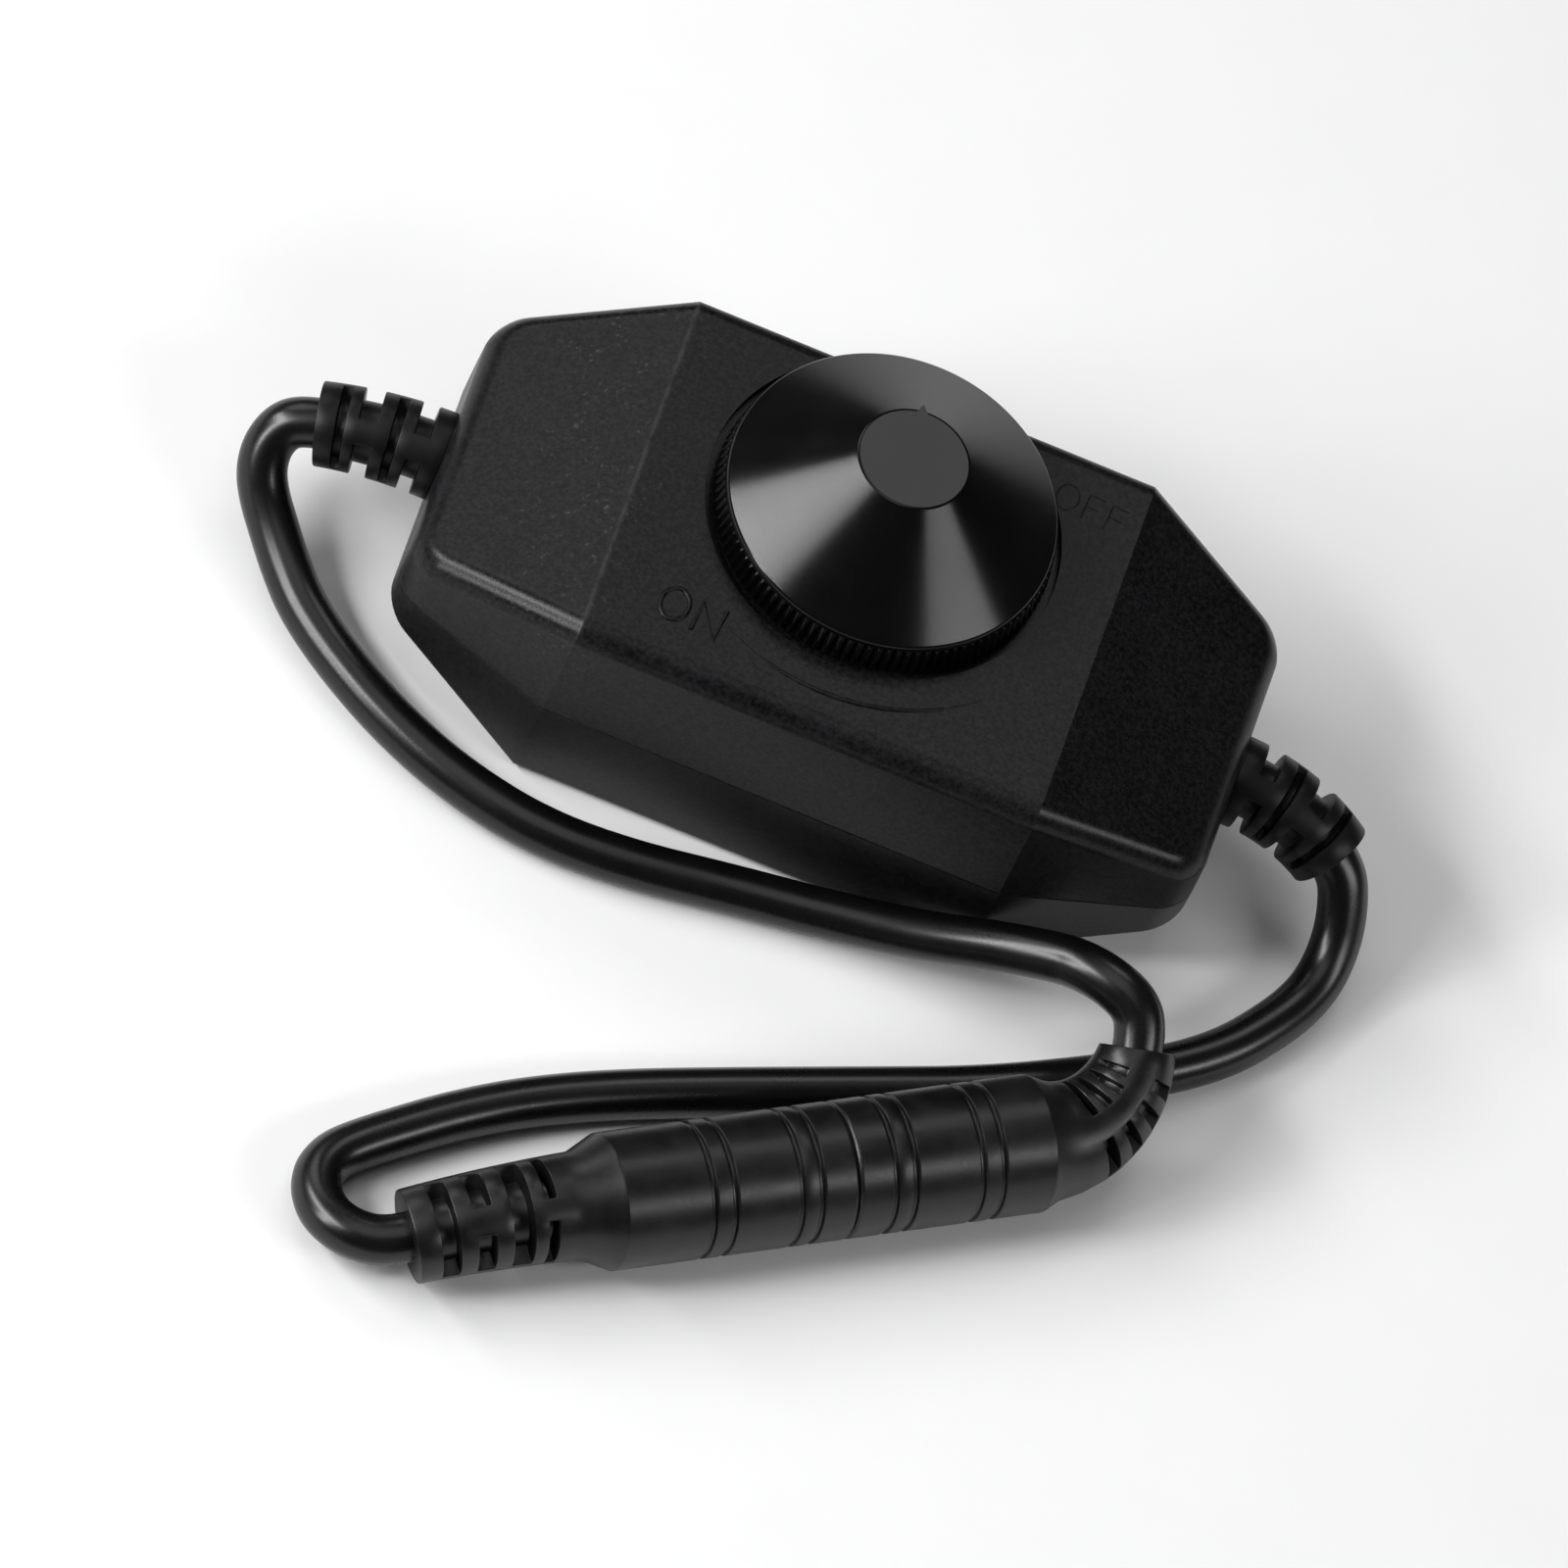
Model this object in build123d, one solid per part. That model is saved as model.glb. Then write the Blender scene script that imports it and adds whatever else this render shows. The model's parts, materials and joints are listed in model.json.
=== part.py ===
from build123d import *
from math import cos, degrees, pi, radians, sin, tan
import os

# In-line rotary LED dimmer, in millimetres.
# The case stands on z = 0 with its length along X. +Y is the rear and the origin lies under its middle.

# Case, outside
case_length = 66.6
case_width = 35.0
case_height = 22.0
parting_height = 11.2
crease_span = 38.3
end_width = 24.6
upper_end_share = 0.556
lower_end_share = 0.625
upper_draft = 3.0
lower_draft = 6.8
upper_edge_radius = 1.7
lower_edge_radius = 1.0
end_edge_radius = 2.9
end_corner_radius = 2.4
inner_edge_radius = 0.3

# Case, inside
wall = 1.8
roof = 2.4
floor_wall = 2.0
lap_inset = 0.9
lap_thickness = 0.7
lap_height = 1.1
lap_side_gap = 0.05
lap_top_gap = 0.10

# Case screws and their bosses
boss_x = 15.0
boss_y = 12.6
boss_radius = 3.0
head_bore_radius = 2.2
head_seat_height = 6.0
screw_head_radius = 2.0
screw_head_height = 1.5
screw_radius = 1.1
screw_bite = 4.8
screw_clearance = 0.05
cross_width = 0.7
cross_depth = 0.8

# Dial knob
knob_y = 3.7
knob_height = 9.27
knob_top_radius = 4.45
knob_rim_radius = 13.35
knob_rim_low = 2.30
knob_rim_high = 2.85
skirt_drop = 0.3
skirt_top_radius = 13.40
skirt_foot_radius = 13.75
skirt_teeth = 108
tooth_depth = 0.3
knob_edge_radius = 0.25
knob_shell = 2.0
knob_cavity_radius = 12.0
knob_boss_radius = 5.2
knob_boss_foot = 3.9
knob_bore_top = 7.8
nib_angle = 98.0
nib_reach = 5.1
nib_half_width = 0.8
nib_depth = 1.2

# Dial recess in the top of the case
recess_radius = 14.35
recess_depth = 0.8

# Potentiometer
shaft_radius = 3.0
shaft_flat = 1.5
shaft_fit = 0.02
shaft_running_gap = 0.05
shaft_end_gap = 0.1
shaft_flat_gap = 0.2
bushing_radius = 3.5
bushing_length = 4.2
bushing_hole_gap = 0.1
plate_radius = 8.2
plate_thickness = 1.5
can_radius = 8.25
can_wall = 0.5
can_height = 5.5
wafer_radius = 7.7
wafer_thickness = 1.2
tab_width = 13.4
tab_reach = 10.2
tab_gap = 0.1
rotor_radius = 6.5
rotor_thickness = 1.5
rotor_gap = 0.9
brush_reach = 5.6
brush_gap = 0.05
terminal_width = 1.2
terminal_thickness = 0.4
terminal_pitch = 5.0
terminal_reach = 9.4
terminal_pad = 1.8
terminal_pad_thickness = 0.3
washer_radius = 6.0
washer_thickness = 0.5
nut_flats = 10.0
nut_thickness = 2.0
thread_fit = 0.02

# Circuit board and its components
board_length = 40.0
board_width = 19.0
board_thickness = 1.6
board_foot = 4.6
rib_x = 14.0
rib_thickness = 1.4
transistor_size = (6.6, 6.1, 2.3)
transistor_at = (-14.0, 3.0)
transistor_tab = (5.2, 1.4, 0.6)
chip_size = (5.0, 4.0, 1.5)
chip_at = (-5.5, 1.6)
chip_pin = (0.45, 1.0, 0.5)
chip_pitch = 1.27
capacitor_radius = 3.15
capacitor_height = 6.0
capacitor_at = (13.0, 3.5)
capacitor_base = (6.6, 6.6, 0.6)
resistor_size = (2.0, 1.25, 0.55)
resistor_spots = ((2.0, 6.5), (2.0, 3.5), (2.0, 0.5), (6.5, 6.5), (6.5, -1.0))
diode_size = (2.7, 1.6, 1.1)
diode_spots = ((-9.5, -7.0), (9.5, -7.0))

# Lead exits and the boots at the case
lead_radius = 2.0
lead_y = 0.8
neck_radius = 2.95
neck_gap = 0.05
flange_radius = 3.5
flange_thickness = 1.4
pocket_gap = 0.1
exit_pad_radius = 3.75
exit_pad_depth = 1.3
case_boot_widths = (1.4, 1.2, 1.0, 0.7, 1.1, 1.4, 0.9, 0.7, 1.5)
case_boot_base = 3.62
case_boot_tip = 3.35
boot_core_radius = 2.45
boot_bridge = 2.1
left_boot_turn = 16.0
left_boot_bend = (0, -0.457, -0.889)
left_boot_twist = 28.8
right_boot_turn = 34.0
right_boot_bend = (0, -0.504, -0.864)
right_boot_twist = -25.7

# Inner lead ends
core_radius = 0.7
core_spacing = 1.9
core_pad_x = 17.6
core_exit_run = 3.0

# Mated plug and jack, lying on the floor with the seam between them
seam_point = (14.78, -43.22)
coupling_angle = 33.9
grip_radius = 5.42
seam_chamfer = 0.25
groove_spots = (3.1, 4.75, 10.35, 12.1)
groove_width = 0.5
groove_depth = 0.3
jack_body_length = 19.3
jack_cone_length = 2.4
jack_boot_widths = (2.7, 0.8, 1.1, 1.6, 1.4, 1.4, 1.4, 1.4, 1.8)
jack_boot_base = 4.25
jack_boot_tip = 3.75
jack_boot_turn = 12.0
jack_boot_twist = 62.6
plug_body_length = 16.5
plug_cone_length = 1.4
plug_boot_widths = (2.8, 0.85, 0.95, 0.85, 0.95, 0.85, 0.95, 0.85, 1.95)
plug_boot_base = 4.75
plug_boot_tip = 3.0
plug_boot_turn = 74.0
plug_boot_twist = -5.3
plug_boot_side = 0.84
plug_boot_lift = 0.54

# Contacts of the 5.5 x 2.1 coupling
barrel_radius = 2.75
barrel_wall = 0.5
barrel_reach = 9.5
contact_seat = 5.0
tip_bore_radius = 1.07
tip_outer_radius = 1.5
tip_setback = 0.4
pin_radius = 1.05
pin_setback = 2.0
sleeve_radius = 3.3
sleeve_wall = 0.5
sleeve_depth = 10.5
insert_thickness = 0.8
contact_fit = 0.02

# Routes of the two leads, from the boot at the case to the boot at the coupling
left_route = (
    (-45.6, -0.65, 8.8), (-46.1, -1.8, 7.5), (-45.85, -3.2, 6.1), (-44.8, -4.6, 4.8), (-43.1, -6.4, 3.7),
    (-41.2, -8.6, 2.8), (-38.8, -11.2, 2.2), (-34.7, -14.4, 2.0), (-29.3, -17.8, 2.0), (-23.1, -20.5, 2.0),
    (-15.8, -22.1, 2.0), (-8.2, -21.8, 2.0), (0.0, -20.4, 2.1), (7.8, -19.6, 2.7), (14.8, -19.3, 4.4),
    (20.6, -19.0, 6.7), (25.4, -19.4, 9.1), (27.6, -20.1, 10.3), (29.9, -20.9, 10.8), (32.0, -21.7, 10.5),
)
right_route = (
    (45.2, -2.9, 6.0), (45.8, -5.0, 4.0), (45.7, -7.6, 2.5), (44.8, -10.4, 2.0), (43.1, -13.5, 2.0),
    (40.7, -17.0, 2.0), (37.0, -20.5, 2.0), (31.4, -24.3, 2.0), (23.9, -28.9, 2.0), (15.1, -33.2, 2.0),
    (5.8, -37.7, 2.0), (-2.8, -42.0, 2.0), (-9.2, -45.8, 2.0), (-14.2, -49.6, 2.0), (-17.9, -53.0, 2.0),
    (-20.2, -55.2, 2.0), (-21.9, -57.2, 2.1), (-22.6, -59.4, 2.3), (-22.1, -61.6, 2.6), (-20.7, -63.3, 3.0),
    (-18.5, -64.2, 3.4),
)
left_exit_run = 1.5
right_exit_run = 1.7
plug_exit_run = 1.8
jack_exit_run = 1.8

# Lengths that follow from the ones above
half_length = case_length / 2
half_crease = crease_span / 2
board_top = board_foot + board_thickness
panel_underside = case_height - roof
recess_floor = case_height - recess_depth
plate_foot = panel_underside - plate_thickness
can_foot = plate_foot - can_height
wafer_foot = can_foot + can_wall
wafer_top = wafer_foot + wafer_thickness
shaft_foot = wafer_top + rotor_gap
bushing_top = recess_floor + bushing_length
shaft_flat_foot = bushing_top + shaft_flat_gap
shaft_top = case_height + knob_bore_top - shaft_end_gap
screw_top = parting_height + screw_bite
knob_axis = Location((0, knob_y, 0))


def tube(outer, inner, foot, height):
    """Upright tube standing at the given height."""
    return Pos(0, 0, foot) * extrude(Circle(outer) - Circle(inner), amount=height)


def disc(radius, foot, height):
    """Upright cylinder standing at the given height."""
    return Pos(0, 0, foot) * extrude(Circle(radius), amount=height)


def block(size, x, y, foot):
    """Box standing at the given height, centred on x and y."""
    return Pos(x, y, foot) * Box(*size, align=(Align.CENTER, Align.CENTER, Align.MIN))


def case_section(x, half_width, depth, draft, radius, facing):
    """Drafted cross-section of a case half with its two outer corners rounded."""
    far = half_width - depth * tan(radians(draft))
    outline = make_face(Polyline(
        (-half_width, 0), (half_width, 0), (far, facing * depth), (-far, facing * depth), close=True))
    corners = outline.vertices().filter_by(lambda v: abs(v.Y) > depth / 2)
    plane = Plane((x, 0, parting_height), x_dir=(0, 1, 0), z_dir=(1, 0, 0))
    return plane * fillet(corners, radius)


def case_half(inset, cover, facing):
    """Solid of a case half, moved in from the outer surface by inset (walls) and cover (roof or floor)."""
    rise = case_height - parting_height if facing > 0 else parting_height
    slope = rise * (upper_end_share if facing > 0 else lower_end_share)
    draft = upper_draft if facing > 0 else lower_draft
    edge = upper_edge_radius if facing > 0 else lower_edge_radius
    end_x = half_length - inset
    share = (end_x - half_crease) / (half_length - half_crease)
    crease_half = case_width / 2 - inset
    end_half = case_width / 2 + (end_width - case_width) / 2 * share - inset
    end_depth = rise - slope * share - cover
    edge = max(edge - inset, inner_edge_radius)
    end_edge = max(end_edge_radius - inset, 2 * inner_edge_radius)
    sections = [
        case_section(-end_x, end_half, end_depth, draft, end_edge, facing),
        case_section(-half_crease, crease_half, rise - cover, draft, edge, facing),
        case_section(half_crease, crease_half, rise - cover, draft, edge, facing),
        case_section(end_x, end_half, end_depth, draft, end_edge, facing),
    ]
    hull = loft(sections, ruled=True)
    ends = hull.edges().filter_by(lambda e: abs(abs(e.center().X) - end_x) < 0.01)
    rim = ends.filter_by(lambda e: abs(e.center().Z - parting_height) > 0.01)
    return fillet(rim, max(end_corner_radius - inset, inner_edge_radius))


def plan(inset, foot, height):
    """Upright prism of the case's outline at the parting plane, moved in by inset."""
    end_x = half_length - inset
    share = (end_x - half_crease) / (half_length - half_crease)
    crease_half = case_width / 2 - inset
    end_half = case_width / 2 + (end_width - case_width) / 2 * share - inset
    corners = [(end_x, end_half), (half_crease, crease_half), (-half_crease, crease_half), (-end_x, end_half)]
    outline = make_face(Polyline(*corners, *[(-x, -y) for x, y in corners], close=True))
    ends = outline.vertices().filter_by(lambda v: abs(v.X) > half_crease + 1)
    corner = max(end_corner_radius - inset, inner_edge_radius)
    return Pos(0, 0, foot) * extrude(fillet(ends, corner), amount=height)


def along_lead(x, radius, length):
    """Lying cylinder on the axis of the lead exits, centred at x."""
    axis = Plane((x, lead_y, parting_height), x_dir=(0, 1, 0), z_dir=(1, 0, 0))
    return axis * Cylinder(radius, length)


def exit_bores():
    """Bores for the boots' necks, with pockets for their flanges inside the case."""
    necks = along_lead(0, neck_radius + neck_gap, case_length + 2)
    return necks + along_lead(0, flange_radius + pocket_gap, case_length - 2 * wall)


def exit_pads(facing):
    """Flat seats for the boots, the half of them that belongs to one case half."""
    ends = [side * (half_length - exit_pad_depth / 2) for side in (-1, 1)]
    pads = Part() + [along_lead(x, exit_pad_radius, exit_pad_depth) for x in ends]
    half_space = Box(case_length, case_width, case_height)
    return pads & Pos(0, 0, parting_height + facing * case_height / 2) * half_space


def boss_spots():
    """Places of the four screw bosses."""
    return GridLocations(2 * boss_x, 2 * boss_y, 2, 2)


def make_upper_case():
    """Upper case half with its dial recess, screw bosses and lap rebate."""
    shell = case_half(0, 0, 1) + exit_pads(1) - case_half(wall, roof, 1)
    shell -= plan(lap_inset, parting_height, lap_height + lap_top_gap)
    boss = disc(boss_radius, parting_height, panel_underside - parting_height)
    shell += [spot * boss for spot in boss_spots()]
    pilot = disc(screw_radius + screw_clearance, parting_height, screw_top - parting_height + screw_radius)
    shell -= [spot * pilot for spot in boss_spots()]
    shell -= knob_axis * disc(recess_radius, recess_floor, case_height - recess_floor)
    shell -= knob_axis * disc(bushing_radius + bushing_hole_gap, panel_underside, roof)
    return shell - exit_bores()


def make_lower_case():
    """Lower case half with its lap lip, screw bosses and the ribs under the board."""
    shell = case_half(0, 0, -1) + exit_pads(-1) - case_half(wall, floor_wall, -1)
    lip_inset = lap_inset + lap_side_gap
    lip = plan(lip_inset, parting_height, lap_height)
    shell += lip - plan(lip_inset + lap_thickness, parting_height, lap_height)
    boss = disc(boss_radius, floor_wall, parting_height - floor_wall)
    shell += [spot * boss for spot in boss_spots()]
    rib = (rib_thickness, board_width, board_foot - floor_wall)
    shell += [block(rib, side * rib_x, 0, floor_wall) for side in (-1, 1)]
    shell -= [spot * disc(screw_radius + screw_clearance, 0, parting_height) for spot in boss_spots()]
    shell -= [spot * disc(head_bore_radius, 0, head_seat_height) for spot in boss_spots()]
    return shell - exit_bores()


def make_case_screws():
    """Four pan-head screws with cross recesses, put in from below."""
    head_foot = head_seat_height - screw_head_height
    head = disc(screw_head_radius, head_foot, screw_head_height)
    head = fillet(head.edges().sort_by(Axis.Z)[0], screw_head_height / 2)
    screw = head + disc(screw_radius, head_seat_height, screw_top - head_seat_height)
    arm = (2 * screw_radius, cross_width, cross_depth)
    screw -= block(arm, 0, 0, head_foot) + Rot(Z=90) * block(arm, 0, 0, head_foot)
    return Part() + [spot * screw for spot in boss_spots()]


def skirt_outline(radius, height):
    """Saw-tooth outline of the knob's knurl with its crests on the given radius."""
    step = pi / skirt_teeth
    points = []
    for i in range(2 * skirt_teeth):
        reach = radius - (i % 2) * tooth_depth
        points.append((reach * cos(i * step), reach * sin(i * step)))
    return Pos(0, 0, height) * make_face(Polyline(*points, close=True))


def d_section(radius, flat):
    """Circle cut by a flat on its -Y side."""
    return Circle(radius) & Pos(0, radius - flat) * Rectangle(4 * radius, 2 * radius)


def make_knob():
    """Dial knob: cone with a pointer nib, knurled skirt and a D bore in its boss."""
    profile = Polyline(
        (0, knob_rim_low), (knob_rim_radius, knob_rim_low), (knob_rim_radius, knob_rim_high),
        (knob_top_radius, knob_height), (0, knob_height), close=True)
    outline = make_face(profile)
    edges = outline.vertices().filter_by(lambda v: v.X > 1 and v.Y > knob_rim_low + 0.1)
    cone = revolve(Plane.XZ * fillet(edges, knob_edge_radius), Axis.Z)
    skirt_foot = skirt_outline(skirt_foot_radius, -skirt_drop)
    skirt = loft([skirt_foot, skirt_outline(skirt_top_radius, knob_rim_low)], ruled=True)
    fall = (knob_height - knob_rim_high) / (knob_rim_radius - knob_top_radius)
    ceiling = knob_height - knob_shell
    shoulder = ceiling - fall * (knob_cavity_radius - knob_top_radius)
    hollow = make_face(Polyline(
        (0, -skirt_drop), (knob_cavity_radius, -skirt_drop), (knob_cavity_radius, shoulder),
        (knob_top_radius, ceiling), (0, ceiling), close=True))
    body = cone + skirt - revolve(Plane.XZ * hollow, Axis.Z)
    body += disc(knob_boss_radius, knob_boss_foot, knob_height - knob_shell / 2 - knob_boss_foot)
    bore = extrude(d_section(shaft_radius + shaft_fit, shaft_flat + shaft_fit), amount=knob_bore_top)
    body -= bore
    nib = make_face(Polyline(
        (0, -nib_half_width), (nib_reach, 0), (0, nib_half_width), close=True))
    body += Pos(0, 0, knob_height - nib_depth) * Rot(Z=nib_angle) * extrude(nib, amount=nib_depth)
    return Pos(0, 0, case_height) * knob_axis * (body - bore)


def make_pot_shaft():
    """Potentiometer shaft with the flat that the knob fits on."""
    shaft = disc(shaft_radius, shaft_foot, shaft_flat_foot - shaft_foot)
    nose = extrude(d_section(shaft_radius, shaft_flat), amount=shaft_top - shaft_flat_foot)
    shaft += Pos(0, 0, shaft_flat_foot) * nose
    return knob_axis * shaft


def make_pot_wiper():
    """Rotor on the shaft's foot with the brush that runs over the wafer."""
    rotor = tube(rotor_radius, shaft_radius + shaft_fit, shaft_foot, rotor_thickness)
    brush_foot = wafer_top + brush_gap
    brush = block((2.0, 1.2, shaft_foot - brush_foot), 0, brush_reach, brush_foot)
    return knob_axis * (rotor + brush)


def make_pot_bushing():
    """Threaded bushing with the potentiometer's front plate."""
    bore = shaft_radius + shaft_running_gap
    return knob_axis * (tube(bushing_radius, bore, panel_underside, bushing_top - panel_underside)
                        + tube(plate_radius, bore, plate_foot, plate_thickness))


def make_pot_can():
    """Cup of the potentiometer with a window for the wafer's tab."""
    can = disc(can_radius, can_foot, can_height) - disc(can_radius - can_wall, wafer_foot, can_height)
    window = (tab_width + 2 * tab_gap, 2 * can_radius, wafer_thickness + tab_gap)
    return knob_axis * (can - block(window, 0, -can_radius, wafer_foot))


def terminal_spots():
    """Places of the three terminals behind the front wall of the can."""
    return [Pos(i * terminal_pitch, -terminal_reach, 0) for i in (-1, 0, 1)]


def make_pot_wafer():
    """Wafer with the resistive track and the tab that carries the terminals."""
    tab = block((tab_width, tab_reach, wafer_thickness), 0, -tab_reach / 2, wafer_foot)
    wafer = disc(wafer_radius, wafer_foot, wafer_thickness) + tab
    slot = (terminal_width + 2 * thread_fit, terminal_thickness + 2 * thread_fit, wafer_thickness)
    return knob_axis * (wafer - [spot * block(slot, 0, 0, wafer_foot) for spot in terminal_spots()])


def make_pot_terminals():
    """Three flat terminals, riveted over the tab and soldered down to the board."""
    pin = block((terminal_width, terminal_thickness, wafer_top - board_top), 0, 0, board_top)
    pad = (terminal_pad, terminal_pad / 2, terminal_pad_thickness)
    pin += block(pad, 0, 0, wafer_top) + block(pad, 0, 0, board_top)
    return knob_axis * (Part() + [spot * pin for spot in terminal_spots()])


def make_pot_washer():
    """Flat washer between the case and the nut."""
    return knob_axis * tube(washer_radius, bushing_radius + thread_fit, recess_floor, washer_thickness)


def make_pot_nut():
    """Hexagon nut that clamps the potentiometer to the case."""
    hexagon = RegularPolygon(nut_flats / 2, 6, major_radius=False) - Circle(bushing_radius + thread_fit)
    return knob_axis * Pos(0, 0, recess_floor + washer_thickness) * extrude(hexagon, amount=nut_thickness)


def make_circuit_board():
    """Bare circuit board on the two ribs."""
    return block((board_length, board_width, board_thickness), 0, 0, board_foot)


def make_power_transistor():
    """Surface-mounted power transistor with its cooling tab."""
    width, depth, _ = transistor_size
    x, y = transistor_at
    body = block(transistor_size, x, y, board_top)
    return body + block(transistor_tab, x, y + (depth + transistor_tab[1]) / 2, board_top)


def make_timer_chip():
    """Eight-legged timer chip."""
    x, y = chip_at
    chip = block(chip_size, x, y, board_top)
    reach = (chip_size[1] + chip_pin[1]) / 2
    for i in range(4):
        pin_x = x + (i - 1.5) * chip_pitch
        chip += [block(chip_pin, pin_x, y + side * reach, board_top) for side in (-1, 1)]
    return chip


def make_filter_capacitor():
    """Upright electrolytic capacitor on its square base."""
    x, y = capacitor_at
    base = block(capacitor_base, x, y, board_top)
    return base + Pos(x, y, 0) * disc(capacitor_radius, board_top + capacitor_base[2], capacitor_height)


def make_chip_group(size, spots):
    """Equal small chips at the given places on the board."""
    return Part() + [block(size, x, y, board_top) for x, y in spots]


def boot_section(radius, bridges):
    """Cross-section of a boot: a full ring, or in a slot the core with bridges at the given angles."""
    if not bridges:
        return Sketch() + Circle(radius)
    spokes = Sketch() + [Rot(Z=angle) * Rectangle(2 * radius, boot_bridge) for angle in bridges]
    return Circle(boot_core_radius) + (spokes & Circle(radius))


def boot_plane(turn, rho):
    """Plane across a boot that bends from +X towards -Z, after the given turn in degrees."""
    angle = radians(turn)
    middle = (rho * sin(angle), 0, rho * cos(angle) - rho)
    return Plane(middle, x_dir=(0, 1, 0), z_dir=(cos(angle), 0, -sin(angle)))


def slotted_boot(widths, base, tip, bridges, turn):
    """Slotted strain-relief boot from the origin along +X, bent towards -Z by the given turn.

    The widths alternate between rings and slots; the bridges give the angles of each slot's bridges.
    """
    length = sum(widths)
    rho = length / radians(turn)
    boot = Part()
    start = 0
    for i, width in enumerate(widths):
        radius = base + (tip - base) * start / (length - widths[-1])
        section = boot_section(radius, bridges[i // 2 % len(bridges)] if i % 2 else ())
        across = boot_plane(degrees(start / rho), rho)
        boot += revolve(across * section, Axis((0, 0, -rho), (0, 1, 0)), degrees(width / rho))
        start += width
    return boot


def boot_end(frame, widths, turn):
    """Middle of a bent boot's end face and the direction in which its lead leaves."""
    rho = sum(widths) / radians(turn)
    local = boot_plane(turn, rho)
    tip = frame.from_local_coords(local.origin)
    ahead = frame.from_local_coords(local.origin + local.z_dir)
    return tip, ahead - tip


def make_case_boot(frame, turn, twist):
    """Boot at an end of the case, with the neck and flange that hold it in the wall."""
    boot = slotted_boot(case_boot_widths, case_boot_base, case_boot_tip, ((twist,), (twist + 90,)), turn)
    across = Plane((-wall, 0, 0), x_dir=(0, 1, 0), z_dir=(1, 0, 0))
    boot += extrude(across * Circle(neck_radius), amount=wall)
    boot += extrude(across * Circle(flange_radius), amount=-flange_thickness)
    return frame * boot


def make_inner_leads(side):
    """Two cores of a lead, from the boot's flange down to the board."""
    start = half_length - wall - flange_thickness
    rest = board_top + core_radius
    leads = Part()
    for offset in (-core_spacing / 2, core_spacing / 2):
        points = [(start, parting_height), (start - core_exit_run, parting_height),
                  (core_pad_x + core_exit_run, rest), (core_pad_x, rest)]
        path = FilletPolyline(*[(side * x, lead_y + offset, z) for x, z in points], radius=3 * core_radius)
        leads += sweep(Plane(path @ 0, z_dir=path % 0) * Circle(core_radius), path)
    return leads


def grip_profile(body_length, tail):
    """Half-profile of a grip: chamfer at the seam, body with ring grooves, then the given tail points."""
    points = [(0, 0), (0, grip_radius - seam_chamfer), (seam_chamfer, grip_radius)]
    for spot in groove_spots:
        low, high = spot - groove_width / 2, spot + groove_width / 2
        points += [(low, grip_radius), (low, grip_radius - groove_depth)]
        points += [(high, grip_radius - groove_depth), (high, grip_radius)]
    points += [(body_length, grip_radius), *tail, (tail[-1][0], 0)]
    return make_face(Polyline(*points, close=True))


def make_jack_grip(frame):
    """Moulded cover of the jack with its drooping slotted boot and the bore for its contacts."""
    cone_end = jack_body_length + jack_cone_length
    grip = revolve(Plane.XZ * grip_profile(jack_body_length, [(cone_end, jack_boot_base)]), Axis.X)
    sides = jack_boot_twist + 90
    bridges = ((jack_boot_twist, sides), (sides,))
    grip += Pos(cone_end, 0, 0) * slotted_boot(
        jack_boot_widths, jack_boot_base, jack_boot_tip, bridges, jack_boot_turn)
    return frame * (grip - lying_tube(sleeve_radius + contact_fit, 0, 0, sleeve_depth))


def make_plug_grip(frame):
    """Moulded cover of the plug with its bent slotted boot and the seat for its contacts."""
    cone_end = plug_body_length + plug_cone_length
    grip = revolve(Plane.XZ * grip_profile(plug_body_length, [(cone_end, plug_boot_base)]), Axis.X)
    bridges = (plug_boot_twist, plug_boot_twist + 90)
    grip += Pos(cone_end, 0, 0) * slotted_boot(
        plug_boot_widths, plug_boot_base, plug_boot_tip, (bridges,), plug_boot_turn)
    return frame * (grip - lying_tube(barrel_radius + contact_fit, 0, 0, contact_seat))


def lying_tube(outer, inner, start, end):
    """Tube along +X between two places."""
    section = Sketch() + Circle(outer)
    if inner:
        section -= Circle(inner)
    return extrude(Plane((start, 0, 0), x_dir=(0, 1, 0), z_dir=(1, 0, 0)) * section, amount=end - start)


def lead_points(start, heading, first_run, route, last_run, end_heading, end):
    """All points of a lead, with straight exits along the headings of its two boots."""
    points = [start, start + heading.normalized() * first_run]
    points += [Vector(*point) for point in route]
    return points + [end + end_heading.normalized() * last_run, end]


def make_lead(name, points):
    """Round lead through the points, each corner rounded as far as its runs allow."""
    runs = [b - a for a, b in zip(points, points[1:])]
    radii = []
    for before, after in zip(runs, runs[1:]):
        half_turn = radians(before.get_angle(after)) / 2
        radii.append(0.45 * min(before.length, after.length) / tan(half_turn))
    path = FilletPolyline(*points, radius=radii)
    lead = sweep(Plane(path @ 0, z_dir=path % 0) * Circle(lead_radius), path)
    share = lead.volume / (pi * lead_radius ** 2 * path.length)
    print(name, "length", round(path.length, 1), "volume share", round(share, 4))
    print(name, "radii", [round(r, 1) for r in radii])
    print(name, "points", [tuple(round(v, 2) for v in point) for point in points])
    return lead


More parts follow.
